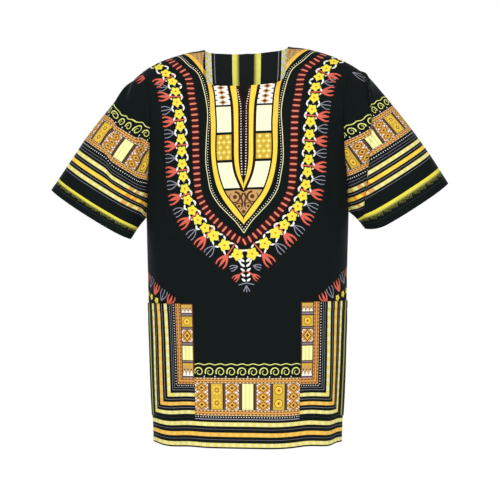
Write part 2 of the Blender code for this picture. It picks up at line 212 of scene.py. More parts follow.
# Lines of the yoke, in millimetres: across from the centre line, and height on the cloth
YOKE_EDGE = (
    (128, 34), (100, -15), (81, -40), (73, -88), (69, -134), (72, -175), (74, -226),
    (70, -256), (64, -285), (50, -309), (31, -330), (15, -347), (0, -369),
)
BAND_OUTER = (
    (113, 29), (71.4, -48.5), (65.2, -142), (63.9, -225), (51.4, -283), (22.6, -329), (0, -354),
)
BAND_INNER = (
    (102.7, 24), (61.4, -49), (52.6, -143), (52.6, -225), (37.6, -284), (11.3, -322), (0, -338),
)
SLIT_OUTER = ((26, -60), (25, -78), (20.3, -118), (19, -180), (18.5, -227), (13.5, -255), (0, -287))
SLIT_INNER = ((14, -60), (12.5, -78), (9.6, -118), (9.2, -180), (8.6, -227), (5.6, -252), (0, -272))
BAR_RING = (
    (160, 62), (150, 40), (130, -4), (101.5, -46), (99, -96), (95, -140), (94, -223),
    (90, -281), (85, -299), (70.5, -325), (50, -347.5), (30, -367), (15, -379), (0, -386),
)
GARLAND = (
    (178, 10), (158, -14), (140, -41), (130, -67), (131, -100), (127, -140), (124, -201),
    (123, -235), (117, -285), (104, -318), (88, -344), (60, -371), (40, -390), (15.5, -409), (0, -416),
)
# Flowers on the garland's ring: distances from its tip, and the pitch of the rest
FLOWER_PLACES = (15.5, 46.5, 75.0, 98.0, 120.0, 142.0, 164.5, 187.5, 212.0)
FLOWER_PITCH = 24.6
# Lengths along the ring short of this, over the shoulder, have no sprigs
FRINGE_FROM = 70.0
# How far a sprig's outer prongs bow out, as a share of its size
PRONG_SPREAD = 0.33

# The blocks inside the yoke: top, bottom and kind
YOKE_BLOCKS = (
    (24, -66, "tan"), (-72, -116, "lace"), (-120, -172, "cream"), (-177, -226, "trellis"),
    (-231, -281, "cream"),
)
# Sprigs and flowers above each pocket
SIDE_SPRIGS = ((242, -462), (221, -472), (202, -486), (182, -499), (164, -510))
SIDE_FLOWERS = ((236, -486), (216, -492), (196, -499))

# Stripes above the hem: low, high, inks and where the first lump starts
HEM_STRIPES = (
    (-744.9, -737, ("straw", "ivory"), 4),
    (-765.1, -757.2, ("amber", "straw"), 9),
    (-785, -777.2, ("straw", "ivory"), 1),
)
HEM_LINES = ((-751.0, -750.2), (-771.4, -770.6))
# Stripes round the sleeves: the same, the pitch of the lumps, and the darker inks of the painted shade near
# the underarm, where the sleeve meets the body
SLEEVE_STRIPES = (
    (55.3, 62.5, ("straw", "ivory"), 3, 15, ("amber", "tan", 0.6)),
    (71.3, 78.5, ("yellow", "amber"), 12, 40, ("amber", "deep", 0.5)),
    (87.3, 94.5, ("straw", "ivory"), 9, 15, ("amber", "tan", 0.7)),
)
# Places round the sleeve, near the underarm, where the stripes are painted darker as shade
SLEEVE_PAINTED_SHADE = ((158, 171), (176, 186), (200, 208))
SLEEVE_LINES = (50.4, 66.8, 82.8, 99.4, 104.6)

# The pocket's nested stripes: across from and to, and the height of the matching lower run
POCKET_STRIPES = (
    ("tan", 134, 145.5, -652, -664),
    ("line", 154.2, 155.1, -670.6, -671.4),
    ("line", 158.6, 159.5, -675.4, -676.2),
    ("straw", 164.8, 172.4, -681.6, -688.6),
    ("line", 177.8, 178.7, -693.4, -694.2),
    ("amber", 183.1, 190.6, -699.0, -705.8),
    ("line", 195.8, 196.7, -710.2, -711.0),
    ("straw", 201.0, 208.0, -716.0, -722.8),
    ("lime", 221, 226, None, None),
)

# Soft folds laid over the solid's form, in millimetres on the flat cloth. Each row is one fold, along a
# line from one flat point (across, up) to another, with its half width and its depth out of the cloth.
FRONT_CREASES = (
    (-168, -150, -182, -430, 11, -2.6),
    (-148, -110, -158, -400, 12, 2.0),
    (-200, -345, -120, -262, 8, -1.8),
    (-196, -380, -150, -330, 9, 1.5),
    (170, -140, 184, -430, 11, -3.0),
    (148, -120, 160, -410, 12, 2.4),
    (204, -350, 118, -250, 8, -2.2),
    (205, -385, 150, -318, 9, 1.8),
    (-30, -430, -60, -640, 20, -1.2),
    (40, -420, 66, -660, 22, 1.2),
    (-95, -470, -118, -640, 12, 1.4),
    (112, -440, 96, -610, 13, -1.4),
    (150, -60, 120, -10, 9, -1.6),
    (-152, -62, -124, -12, 9, -1.4),
)
BACK_CREASES = (
    (-172, -120, -150, -360, 12, -3.2),
    (-140, -90, -118, -420, 13, 2.8),
    (-205, -340, -90, -240, 10, -2.4),
    (-200, -390, -110, -330, 10, 2.0),
    (176, -130, 150, -380, 12, -3.4),
    (146, -95, 126, -400, 13, 2.6),
    (206, -345, 84, -225, 10, -2.6),
    (200, -400, 100, -330, 11, 2.2),
    (-60, -40, -20, -150, 16, -1.8),
    (66, -36, 30, -160, 16, -1.6),
    (-75, -420, -68, -700, 10, 2.0),
    (34, -410, 40, -720, 11, -2.2),
    (150, -440, 156, -730, 9, 1.8),
)
SLEEVE_CREASES = {
    "left": (
        (62, 275, 140, 170, 9, -5.0),
        (88, 262, 158, 150, 9, 3.6),
        (24, 240, 52, 120, 15, 2.0),
        (150, 66, 168, -6, 13, -2.4),
        (60, 90, 66, -8, 18, 2.0),
        (106, 60, 112, -6, 12, 1.6),
        (-60, 270, -146, 160, 9, -4.0),
        (-88, 255, -170, 130, 9, 3.0),
        (-30, 230, -60, 60, 15, -2.6),
        (-112, 110, -120, -6, 15, -3.0),
        (-170, 80, -176, -6, 12, 2.4),
        (-10, 120, -14, -6, 16, -1.6),
    ),
    "right": (
        (42, 284, 98, 165, 9, 5.0),
        (62, 284, 124, 158, 9, -5.5),
        (20, 250, 40, 130, 15, -2.0),
        (140, 70, 158, -6, 13, 2.2),
        (64, 100, 72, -8, 18, -2.0),
        (100, 60, 108, -6, 12, -1.6),
        (-58, 274, -140, 165, 9, -3.6),
        (-84, 262, -166, 140, 9, 3.2),
        (-26, 230, -52, 70, 15, 2.4),
        (-118, 120, -128, -6, 15, -3.0),
        (-172, 84, -180, -6, 12, 2.2),
        (-12, 130, -10, -6, 16, 1.8),
    ),
}

# Where a fold pulls the sleeve's print down: place round it at KINK_TOP, its slant down the sleeve, its
# width, how far the print slips, the fold's height, and where above the cuff it starts and is whole.
# The slip lies beyond the fold, and on the back of the sleeve, where the slant is negative, before it.
KINK_TOP = 180.0
SLEEVE_KINKS = {
    "left": (
        (54.0, 0.62, 10.0, 6.5, 3.8, 55, 112),
        (122.0, 1.0, 11.0, -10.0, 4.6, 112, 165),
        (195.0, 0.0, 45.0, -5.0, 0.0, 0, 60),
        (-120.0, -0.7, 12.0, 14.0, 3.5, 40, 120),
    ),
    "right": (
        (-30.0, 0.0, 40.0, -13.0, 0.0, 0, 40),
        (84.0, 0.83, 8.0, 15.0, 4.0, 10, 55),
        (-112.0, -0.75, 12.0, 15.0, 3.5, 40, 120),
    ),
}

# The hem hangs in slight waves: place across, half width and rise
HEM_WAVES = {
    "front": ((-212, 22, 1.6), (-172, 26, -1.8), (-118, 24, 1.4), (60, 40, -1.2), (128, 26, 1.4),
              (178, 24, -1.6), (214, 18, 1.2)),
    "back": ((-190, 26, 2.0), (-120, 28, -2.0), (-40, 26, 1.8), (36, 26, -2.2), (112, 28, 2.0),
             (182, 24, -1.8)),
}
# The end of a cuff that is tucked under the arm turns up: where round it, over what length, and how far
CUFF_CORNER = (0.170, 0.072)
CUFF_CORNER_RISE = {-1: 0.0015, 1: 0.012}

# The relief of seams, turned edges and stitches, in metres
SEAM_GROOVE = 0.0008
SEAM_RIPPLE = 0.00045
HEM_RAISE = 0.00045
HEM_RIPPLE = 0.00030
STITCH_DIP = 0.00028
THREAD_RADIUS = 0.00030
# The stitches, the reach of an edge's relief, the cloth's grid and the widths of turns, in millimetres
STITCH_INSET = 2.2
STITCH_PITCH = 3.6
STITCH_LENGTH = 2.7
EDGE_NEAR = 30
GRID_PITCH = 5.5
HEM_TURN = 13.0
NECK_TURN = 7.0
CUFF_TURN = 14.0
POCKET_TURN = 16.0

# The studio, in metres, and its lamps: place, aim, size and power in watts
FLOOR = -1.9
FLOOR_RADIUS = 2.4
FLOOR_SIDES = 96
LAMPS = {
    "key": ((-1.7, -3.0, 1.5), (0, 0, -0.35), 1.6, 15),
    "fill": ((0.4, -3.3, -0.95), (0, 0, -0.2), 0.9, 9),
    "front": ((0.0, -3.4, 0.12), (0, 0, -0.15), 1.1, 60),
    "top": ((0.1, -1.3, 1.7), (0, 0.1, -0.05), 1.0, 10),
    "back_left": ((-2.4, 2.6, 0.9), (0, 0, -0.4), 1.4, 48),
    "back_right": ((2.4, 2.6, 0.9), (0, 0, -0.4), 1.4, 40),
}

SIDES = (("left", -1), ("right", 1))


def eased(t):
    """A smooth step from 0 to 1."""
    t = np.clip(t, 0.0, 1.0)
    return t * t * (3 - 2 * t)


def curve_through(keys, values):
    """A smooth curve through a table's rows, as a function that takes arrays."""
    order = np.argsort(keys)
    keys, values = np.asarray(keys, float)[order], np.asarray(values, float)[order]
    last = len(keys) - 1
    ahead = np.minimum(np.arange(last + 1) + 1, last)
    behind = np.maximum(np.arange(last + 1) - 1, 0)
    slopes = (values[ahead] - values[behind]) / (keys[ahead] - keys[behind])

    def at(x):
        x = np.clip(x, keys[0], keys[-1])
        i = np.clip(np.searchsorted(keys, x, "right") - 1, 0, last - 1)
        span = keys[i + 1] - keys[i]
        t = (x - keys[i]) / span
        return (
            values[i] * (2 * t**3 - 3 * t**2 + 1)
            + slopes[i] * span * (t**3 - 2 * t**2 + t)
            + values[i + 1] * (3 * t**2 - 2 * t**3)
            + slopes[i + 1] * span * (t**3 - t**2)
        )

    return at


def column(table, columns, name):
    """One column of a table as a smooth curve over its first column."""
    keys = [row[0] for row in table]
    return curve_through(keys, [row[columns.index(name)] for row in table])


BODY_AT = {name: column(BODY, BODY_COLUMNS, name) for name in BODY_COLUMNS[1:]}
SHOULDER_AT = {name: column(SHOULDER, SHOULDER_COLUMNS, name) for name in SHOULDER_COLUMNS[1:]}
ARMHOLE_OUT = column(ARMHOLE, ARMHOLE_COLUMNS, "out")
SLEEVE_AT = {name: column(SLEEVE, SLEEVE_COLUMNS, name) for name in SLEEVE_COLUMNS[1:]}

# The cloth from the centre line to the side seam: its length at each angle round a quarter of the body
GIRTH_ANGLES = np.linspace(0, math.pi / 2, 721)
GIRTH_STEPS = np.hypot(
    float(BODY_AT["side"](GIRTH_HEIGHT)) * np.diff(np.sin(GIRTH_ANGLES)),
    float(BODY_AT["front"](GIRTH_HEIGHT)) * np.diff(np.cos(GIRTH_ANGLES)),
)
GIRTH = np.concatenate(([0.0], np.cumsum(GIRTH_STEPS)))
QUARTER = float(GIRTH[-1])


def out_at(around, height):
    """How far out from the middle a point lies, from its place round the cloth."""
    angle = np.interp(np.abs(around), GIRTH, GIRTH_ANGLES)
    return np.sign(around) * BODY_AT["side"](height) * np.sin(angle)


def around_at(out, height):
    """The place round the cloth of a point, from how far out it lies."""
    angle = np.arcsin(np.clip(np.abs(out) / BODY_AT["side"](height), 0, 1))
    return np.sign(out) * np.interp(angle, GIRTH_ANGLES, GIRTH)


def fold_depth(folds, around, height):
    """The height of the body's folds, which grow towards the hem."""
    total = np.zeros_like(around)
    for place, half_width, depth, start in folds:
        grown = eased((start - height) / (start - HEM))
        total += depth * grown * np.exp(-(((around - place) / half_width) ** 2))
    return total * eased((QUARTER - np.abs(around)) / FOLD_FREE_EDGE)


def body_points(face, around, height):
    """Points of the body's outer face. Face is front or back."""
    away = -1 if face == "front" else 1
    out = out_at(around, height)
    side, depth = BODY_AT["side"](height), BODY_AT[face](height)
    fallen = np.sqrt(np.maximum(0.0, 1 - (out / BODY_AT["round"](height)) ** 2))
    top = SHOULDER_AT["height"](np.abs(out))
    rounded = (top - height) / SHOULDER_AT["round_over"](np.abs(out))
    rounded = np.sqrt(np.maximum(0.0, 1 - (1 - np.clip(rounded, 0, 1)) ** 2))
    y = away * depth * fallen * rounded
    along_x, along_y = out / side**2, y / depth**2
    length = np.maximum(np.hypot(along_x, along_y), 1e-9)
    fold = fold_depth(FRONT_FOLDS if face == "front" else BACK_FOLDS, around, height)
    return np.stack((out + along_x / length * fold, y + along_y / length * fold, height), -1)


def settled(points):
    """Where points of the evenly made shirt end up as it hangs."""
    x, y, z = points[..., 0], points[..., 1], points[..., 2]
    upper = eased((z + 0.62) / 0.25)
    sleeve_share = eased((np.abs(x) - 0.17) / 0.08) * upper
    centre_share = eased(-y / 0.06) * eased((z + 0.52) / 0.2) * np.exp(-((x / 0.12) ** 2))
    moved_x = x + SLEEVE_SWAY * sleeve_share + HEM_SWAY * (1 - upper)
    moved_x = moved_x - CENTRE_SWAY * centre_share
    return np.stack((moved_x, y, z + SIDE_DROP * np.tanh(x / 0.15) * upper), -1)


def shoulder_height(around):
    """The height of the shoulder line over each distance from the centre line."""
    height = SHOULDER_AT["height"](np.abs(around))
    for _ in range(8):
        height = SHOULDER_AT["height"](np.abs(out_at(around, height)))
    return height


def table_place(around):
    """The column of the table that a place round the cloth falls on."""
    return (around + QUARTER) / (2 * QUARTER) * (TABLE_COLUMNS - 1)


def raised(points, out, rise):
    """Points moved along their normals, then settled."""
    out = out / np.maximum(np.linalg.norm(out, axis=-1, keepdims=True), 1e-12)
    return settled(points + out * rise[..., None])


class BodySurface:
    """The front or back as a map from flat cloth to space.

    Below ROLL_OVER a flat point's second number is its height. Above, it is measured along the cloth.
    """

    def __init__(self, face, creases):
        self.face = face
        self.creases = creases
        self.edges = []
        self.around = np.linspace(-QUARTER, QUARTER, TABLE_COLUMNS)
        top = shoulder_height(self.around)[:, None]
        share = np.linspace(0, 1, TABLE_ROWS)
        height = top + (ROLL_OVER - top) * share**2
        around = np.repeat(self.around[:, None], TABLE_ROWS, 1)
        steps = np.linalg.norm(np.diff(body_points(face, around, height), axis=1), axis=2)
        length = np.concatenate((np.zeros((TABLE_COLUMNS, 1)), np.cumsum(steps, axis=1)), axis=1)
        self.length_down, self.height_down = length, height
        self.reach = length[:, -1]
        self.height = np.array([
            np.interp(share * reach, down, rows)
            for reach, down, rows in zip(self.reach, length, height)
        ])

    def flat_height(self, around, height):
        """The flat second number of points given by their height."""
        result = height.astype(float)
        for k in np.flatnonzero(height > ROLL_OVER):
            place = table_place(around[k])
            i = int(np.clip(place, 0, TABLE_COLUMNS - 2))
            ends = [
                self.reach[c] - np.interp(-height[k], -self.height_down[c], self.length_down[c])
                for c in (i, i + 1)
            ]
            result[k] = ROLL_OVER + ends[0] + (ends[1] - ends[0]) * (place - i)
        return result

    def real_height(self, around, flat):
        """The height of flat points."""
        place = np.clip(table_place(around), 0, TABLE_COLUMNS - 1.001)
        i = place.astype(int)
        across = place - i
        reach = self.reach[i] * (1 - across) + self.reach[i + 1] * across
        share = np.clip(1 - (flat - ROLL_OVER) / reach, 0, 1) * (TABLE_ROWS - 1.001)
        j = share.astype(int)
        down = share - j
        here = self.height[i, j] * (1 - down) + self.height[i, j + 1] * down
        there = self.height[i + 1, j] * (1 - down) + self.height[i + 1, j + 1] * down
        rolled = here * (1 - across) + there * across
        return np.where(flat > ROLL_OVER, rolled, flat)

    def even_points(self, around, flat):
        """Points before settling, with the hem's rise at the sides and its waves."""
        height = self.real_height(around, flat)
        points = body_points(self.face, around, height)
        near_hem = np.maximum(0, POCKET_BOTTOM - height) / (POCKET_BOTTOM - HEM)
        share = np.interp(np.abs(around), (0, 0.0866, POCKET_INNER_EDGE, QUARTER), (0, 5 / 12, 0.5, 1))
        points[..., 2] += HEM_SIDE_RISE * near_hem * share**3
        sag = eased((-0.62 - height) / 0.1)
        for place, half_width, rise in HEM_WAVES[self.face]:
            wave = np.exp(-(((around * 1000 - place) / half_width) ** 2))
            points[..., 2] += rise / 1000 * wave * sag
        return points

    def relief(self, around, flat):
        """The height of the soft folds and the worked edges."""
        depth = crease_depth(self.creases, around, flat)
        depth = depth * eased((QUARTER - np.abs(around)) / 0.02)
        return depth + edge_relief(self.edges, around, flat)

    def place(self, around, flat, lift):
        """Settled points at a height above the cloth's outer face."""
        inner = np.clip(around, -QUARTER + PROBE, QUARTER - PROBE)
        across = self.even_points(inner + PROBE, flat) - self.even_points(inner - PROBE, flat)
        below, above = (self.even_points(around, flat - steps * PROBE) for steps in (2, 0.02))
        out = np.cross(across, below - above) * (-1 if self.face == "front" else 1)
        return raised(self.even_points(around, flat), out, self.relief(around, flat) + lift)


def crease_depth(creases, x, y):
    """The height of soft folds: each row runs from one flat point to another."""
    total = np.zeros_like(x)
    for x0, y0, x1, y1, half_width, depth in creases:
        run = np.array((x1 - x0, y1 - y0)) / 1000
        length = np.hypot(*run)
        run /= length
        dx, dy = x - x0 / 1000, y - y0 / 1000
        along = (dx * run[0] + dy * run[1]) / length
        bend = 0.004 * np.sin(along * 5.0 + x0)
        off = (dy * run[0] - dx * run[1] + bend) / (half_width / 1000)
        swell = np.clip(1 - (2 * along - 1) ** 2, 0, 1)
        total += depth / 1000 * np.exp(-(off**2)) * swell
    return total


def edge_relief(edges, across, up):
    """Grooves at seams and the raised, stitched turn of hems. Each edge is (flat line, kind, width)."""
    total = np.zeros(across.size)
    spots = np.stack((across, up), -1).reshape(-1, 2) * 1000
    for line, kind, width in edges:
        low, high = line.min(axis=0) - EDGE_NEAR, line.max(axis=0) + EDGE_NEAR
        near = np.flatnonzero(((spots > low) & (spots < high)).all(axis=1))
        nearby = spots[near]
        away = np.full(len(near), 1e9)
        along = np.zeros(len(near))
        reached = 0.0
        for start, step in zip(line[:-1], np.diff(line, axis=0)):
            length = max(np.linalg.norm(step), 1e-6)
            offset = nearby - start
            share = np.clip(offset @ step / length**2, 0, 1)
            distance = np.hypot(*(offset - share[:, None] * step).T)
            closer = distance < away
            away = np.where(closer, distance, away)
            along = np.where(closer, reached + share * length, along)
            reached += length
        ripple = np.sin(along / 17 + 1.3 * np.sin(along / 41)) * np.exp(-away / 7)
        if kind == "seam":
            total[near] += SEAM_RIPPLE * ripple - SEAM_GROOVE * np.exp(-((away / 2.0) ** 2))
        else:
            dip = np.exp(-(((away - width + STITCH_INSET) / 1.1) ** 2))
            turn = eased((width - away) / 1.4)
            total[near] += HEM_RAISE * turn - STITCH_DIP * dip + HEM_RIPPLE * ripple
    return total.reshape(across.shape)


def tube_points(turn, above):
    """(along the section's long axis, forward) of the plain sleeve tube, folds included."""
    half_width, half_depth = SLEEVE_AT["half_width"](above), SLEEVE_AT["half_depth"](above)
    along, forward = half_width * np.cos(turn), half_depth * np.sin(turn)
    out_x, out_y = along / half_width**2, forward / half_depth**2
    length = np.hypot(out_x, out_y)
    fold = np.zeros_like(along)
    for place, spread, depth, middle, reach in SLEEVE_FOLDS:
        off = (np.degrees(turn) - place + 180) % 360 - 180
        fold += depth * np.exp(-((off / spread) ** 2)) * eased(1 - np.abs(above - middle) / reach)
    along = SLEEVE_AT["shift"](above) + along + out_x / length * fold
    return along, SLEEVE_AT["forward"](above) + forward + out_y / length * fold


def wrapped(values, shift=0.0):
    """A closed row of values with one more at each end, a turn away."""
    return np.concatenate((values[-1:] - shift, values, values[:1] + shift))


class SleeveSurface:
    """A sleeve as a map from flat cloth to space.

    A flat point is (distance round from the outer line, positive over the front, height above the cuff).
    """

    def __init__(self, side, creases, kinks):
        self.side, self.creases, self.kinks = side, creases, kinks
        self.edges = []
        outer = np.array((CUFF_OUTER[0], 0, CUFF_OUTER[1]))
        inner = np.array((CUFF_INNER[0], 0, CUFF_INNER[1]))
        self.long_way = (outer - inner) / np.linalg.norm(outer - inner)
        self.up = np.array((-self.long_way[2], 0, self.long_way[0]))
        self.middle = (outer + inner) / 2
        shares = (1 - np.cos(np.linspace(0, math.pi, 241))) / 2
        heights = ARMHOLE[0][0] + (ARMPIT - ARMHOLE[0][0]) * shares
        edge = around_at(ARMHOLE_OUT(heights), heights)
        back = slice(-2, 0, -1)
        seam = np.concatenate(
            (body_points("front", edge, heights), body_points("back", edge[back], heights[back]))
        )
        local = seam - self.middle
        top = local @ self.up
        seam_x, seam_y = local @ self.long_way, -seam[:, 1]
        turn = np.arctan2(
            (seam_y - SLEEVE_AT["forward"](top)) / SLEEVE_AT["half_depth"](top),
            (seam_x - SLEEVE_AT["shift"](top)) / SLEEVE_AT["half_width"](top),
        )
        tube_x, tube_y = tube_points(turn, top)
        order = np.argsort(turn)
        self.turn = wrapped(turn[order], 2 * math.pi)
        self.top, self.miss_x, self.miss_y = (
            wrapped(values[order]) for values in (top, seam_x - tube_x, seam_y - tube_y)
        )
        around = np.linspace(-math.pi, math.pi, 721)
        width, depth = (float(SLEEVE_AT[name](0.13)) for name in ("half_width", "half_depth"))
        steps = np.hypot(width * np.diff(np.cos(around)), depth * np.diff(np.sin(around)))
        length = np.concatenate(([0.0], np.cumsum(steps)))
        self.half_round = float(length[-1] / 2)
        self.turn_table, self.round_table = around, length - self.half_round

    def turned(self, around):
        """The angle round the sleeve at a distance round it."""
        return np.interp(around, self.round_table, self.turn_table)

    def top_at(self, around):
        """The height of the armhole seam above the cuff."""
        return np.interp(self.turned(around), self.turn, self.top)

    def kink_shares(self, around, above):
        """For each kink: its row, and the signed distance past its slanted line, in its widths."""
        for row in self.kinks:
            place, slant, width = row[:3]
            line = place + slant * (KINK_TOP - above * 1000)
            yield row, (-1 if slant < 0 else 1) * (around * 1000 - line) / width

    def slip(self, around, above):
        """How far a fold has pulled the cloth down towards the cuff."""
        total = np.zeros_like(around)
        for (_, _, _, reach, _, low, high), past in self.kink_shares(around, above):
            grown = eased((above * 1000 - low) / (high - low))
            total += reach / 1000 * eased(past / 2 + 0.5) * grown
        at_seam = eased((self.half_round - np.abs(around)) / 0.03)
        return total * at_seam * eased((self.top_at(around) - above) / 0.05)

    def relief(self, around, flat):
        """The height of the soft folds, the kinks and the worked edges."""
        depth = crease_depth(self.creases, around, flat)
        for (_, _, _, _, height, low, high), past in self.kink_shares(around, flat):
            grown = eased((flat * 1000 - low) / (high - low))
            grown = grown * eased((self.top_at(around) - flat) / 0.04)
            ridge = np.exp(-((past + 0.9) ** 2)) - np.exp(-(((past - 0.7) / 0.8) ** 2))
            depth = depth + height / 1000 * ridge * grown
        at_seam = eased((self.half_round - np.abs(around)) / 0.03)
        return depth * at_seam + edge_relief(self.edges, around, flat)

    def even_points(self, around, flat):
        """Points before settling: a tube at the cuff that turns into the armhole's own shape."""
        above = flat - self.slip(around, flat)
        turn = self.turned(around)
        share = above / np.interp(turn, self.turn, self.top)
        along, forward = tube_points(turn, above)
        along = along + np.interp(turn, self.turn, self.miss_x) * share**3
        forward = forward + np.interp(turn, self.turn, self.miss_y) * share**3
        height = above - CUFF_BOW * np.sin(turn) * (1 - share)
        corner = eased((np.abs(around) - CUFF_CORNER[0]) / CUFF_CORNER[1])
        height = height + CUFF_CORNER_RISE[self.side] * corner**1.5 * eased(1 - above / 0.07)
        points = self.middle + along[..., None] * self.long_way + height[..., None] * self.up
        return (points - forward[..., None] * np.array((0, 1, 0))) * np.array((self.side, 1, 1))

    def place(self, around, flat, lift):
        """Settled points at a height above the cloth's outer face."""
        across = self.even_points(around + PROBE, flat) - self.even_points(around - PROBE, flat)
        down = self.even_points(around, flat - PROBE) - self.even_points(around, flat + PROBE)
        out = np.cross(across, down) * self.side
        return raised(self.even_points(around, flat), out, self.relief(around, flat) + lift)


def turned_by(points, angle):
    """The same points, turned anticlockwise."""
    c, s = math.cos(angle), math.sin(angle)
    return np.asarray(points, float) @ np.array(((c, s), (-s, c)))


def leaf(length, width, start=0.0, steps=5):
    """A pointed leaf along +x."""
    t = np.linspace(0, 1, steps + 1)
    swell = np.sin(math.pi * t**0.8) * width / 2
    upper = np.stack((start + t * length, swell), 1)
    lower = np.stack((start + t * length, -swell), 1)
    return np.concatenate((upper, lower[-2:0:-1]))


def disc(radius, sides=10):
    """A dot or ring's outline."""
    angle = np.arange(sides) * 2 * math.pi / sides
    return radius * np.stack((np.cos(angle), np.sin(angle)), 1)


def flower(radius):
    """Five round petals."""
    angle = np.arange(20) * 2 * math.pi / 20
    reach = radius * (0.84 + 0.16 * np.cos(5 * angle))
    return np.stack((reach * np.cos(angle), reach * np.sin(angle)), 1)


def diamond(half_width, half_height):
    """A lozenge about the origin."""
    return np.array(((half_width, 0), (0, half_height), (-half_width, 0), (0, -half_height)), float)


def box(x0, y0, x1, y1):
    """An upright rectangle between two corners."""
    return np.array(((x0, y0), (x1, y0), (x1, y1), (x0, y1)), float)


def stroke(path, width, taper=False):
    """A thin line along a path, as one polygon."""
    path = np.asarray(path, float)
    along = np.gradient(path, axis=0)
    along /= np.maximum(np.linalg.norm(along, axis=1, keepdims=True), 1e-9)
    side = np.stack((-along[:, 1], along[:, 0]), 1) * (width / 2)
    if taper:
        side = side * np.linspace(1.0, 0.35, len(path))[:, None]
    return np.concatenate((path + side, (path - side)[::-1]))


def curl(radius):
    """A line that winds in towards its middle."""
    share = np.linspace(0, 1, 18)
    angle = 3.6 - 1.3 * 2 * math.pi * share
    reach = (radius - 1.25) * (1 - 0.74 * share**1.35)
    return stroke(np.stack((reach * np.cos(angle), reach * np.sin(angle)), 1), 2.5, True)


def finer(points):
    """The same polygon, with its long edges divided so that it can follow the cloth's form."""
    result = []
    for a, b in zip(points, np.roll(points, -1, axis=0)):
        count = max(1, int(math.ceil(math.hypot(*(b - a)) / LONGEST_EDGE)))
        result.extend(a + (b - a) * k / count for k in range(count))
    return np.array(result)


def run_lengths(points):
    """The length of a line up to each of its points."""
    steps = np.linalg.norm(np.diff(points, axis=0), axis=1)
    return np.concatenate(([0], np.cumsum(steps)))


class Path:
    """A smooth line through points, read by its length."""

    def __init__(self, points, pieces=12):
        points = np.asarray(points, float)
        chord = run_lengths(points)
        fine = np.linspace(0, chord[-1], pieces * len(points))
        self.points = np.stack([curve_through(chord, points[:, k])(fine) for k in (0, 1)], 1)
        self.lengths = run_lengths(self.points)
        self.length = float(self.lengths[-1])

    def plain(self, length):
        """Points on the line itself."""
        return np.stack([np.interp(length, self.lengths, self.points[:, k]) for k in (0, 1)], -1)

    def at(self, length, aside=0.0):
        """Points along the line; aside moves them to its left."""
        length = np.asarray(length, float)
        way = self.plain(np.minimum(length + 1.5, self.length)) - self.plain(np.maximum(length - 1.5, 0))
        way /= np.maximum(np.linalg.norm(way, axis=-1, keepdims=True), 1e-9)
        return self.plain(length) + np.stack((-way[..., 1], way[..., 0]), -1) * aside

    def angle(self, length):
        """The direction the line runs in."""
        a, b = self.at(max(length - 1.5, 0)), self.at(min(length + 1.5, self.length))
        return math.atan2(b[1] - a[1], b[0] - a[0])

    def strip(self, low, high, start=0.0, end=None):
        """A polygon along the line between two distances to its left."""
        end = self.length if end is None else end
        lengths = np.linspace(start, end, max(2, int((end - start) / LONGEST_EDGE) + 1))
        return np.concatenate((self.at(lengths, low), self.at(lengths, high)[::-1]))


class Print:
    """Shapes on the flat cloth, in millimetres. Later shapes lie over earlier ones."""

    def __init__(self):
        self.shapes = []

    def add(self, points, ink):
        """A shape in a named ink or in a mixed colour."""
        colour = INK[ink] if isinstance(ink, str) else ink
        self.shapes.append((finer(np.asarray(points, float)), colour))

    def put(self, points, ink, place, angle=0.0):
        """A shape turned and moved to its place."""
        self.add(turned_by(points, angle) + np.asarray(place, float), ink)

    def both(self, points, ink, place=(0, 0), angle=0.0):
        """The same shape on each side of the centre line."""
        points = turned_by(points, angle) + np.asarray(place, float)
        self.add(points, ink)
        self.add(points * (-1, 1), ink)

    def row_of_dots(self, half, y):
        """White dots across the cloth."""
        for x in np.arange(DOT_PITCH / 2 - half, half, DOT_PITCH):
            self.put(disc(1.1, 5), "white", (x, y))


def mixed(first, second, share):
    """A colour between two inks."""
    return tuple(np.array(INK[first]) * (1 - share) + np.array(INK[second]) * share)


SAW_COLOUR = mixed("deep", "brown", 0.68)
CORE_COLOUR = mixed("orange", "tan", 0.4)


def two_tone_stripe(art, half, low, high, inks, start, pitch=LUMP_PITCH):
    """A stripe of one dye with lighter lumps of another."""
    art.add(box(-half, low, half, high), inks[0])
    lump = mixed(*inks, 0.42)
    cut = (high - low) * 0.12
    for x in np.arange(start - half, half - pitch * 0.4, pitch):
        end = min(x + pitch * 0.52, half)
        art.add(((x, low + cut), (end, low), (end - 1.4, high), (x + 1.2, high - cut)), lump)


def toothed_stripe(art, half, low, high):
    """A tan stripe with a brown, saw-edged middle and an orange core."""
    art.add(box(-half, low, half, high), mixed("tan", "cream", 0.35))
    middle, reach = (low + high) / 2, abs(high - low) / 2
    x = np.arange(-half, half + TOOTH_PITCH / 2, TOOTH_PITCH / 2)
    x = x[x <= half]
    teeth = reach * np.where(np.arange(len(x)) % 2, 1.0, 0.36)
    upper, lower = (np.stack((x, middle + way * teeth), 1) for way in (1, -1))
    art.add(np.concatenate((upper, lower[::-1])), SAW_COLOUR)
    art.add(box(-half, middle - reach * 0.24, half, middle + reach * 0.24), CORE_COLOUR)
    for k in range(int(2 * half / TOOTH_PITCH)):
        art.put(diamond(1.5, reach * 0.26), "amber", (TOOTH_PITCH * (k + 0.5) - half, middle))


def centres(x0, y0, x1, y1, count):
    """The middles of a block's equal parts, from its lower edge up."""
    step = (y1 - y0) / count
    return [((x0 + x1) / 2, y0 + step * (k + 0.5)) for k in range(count)]


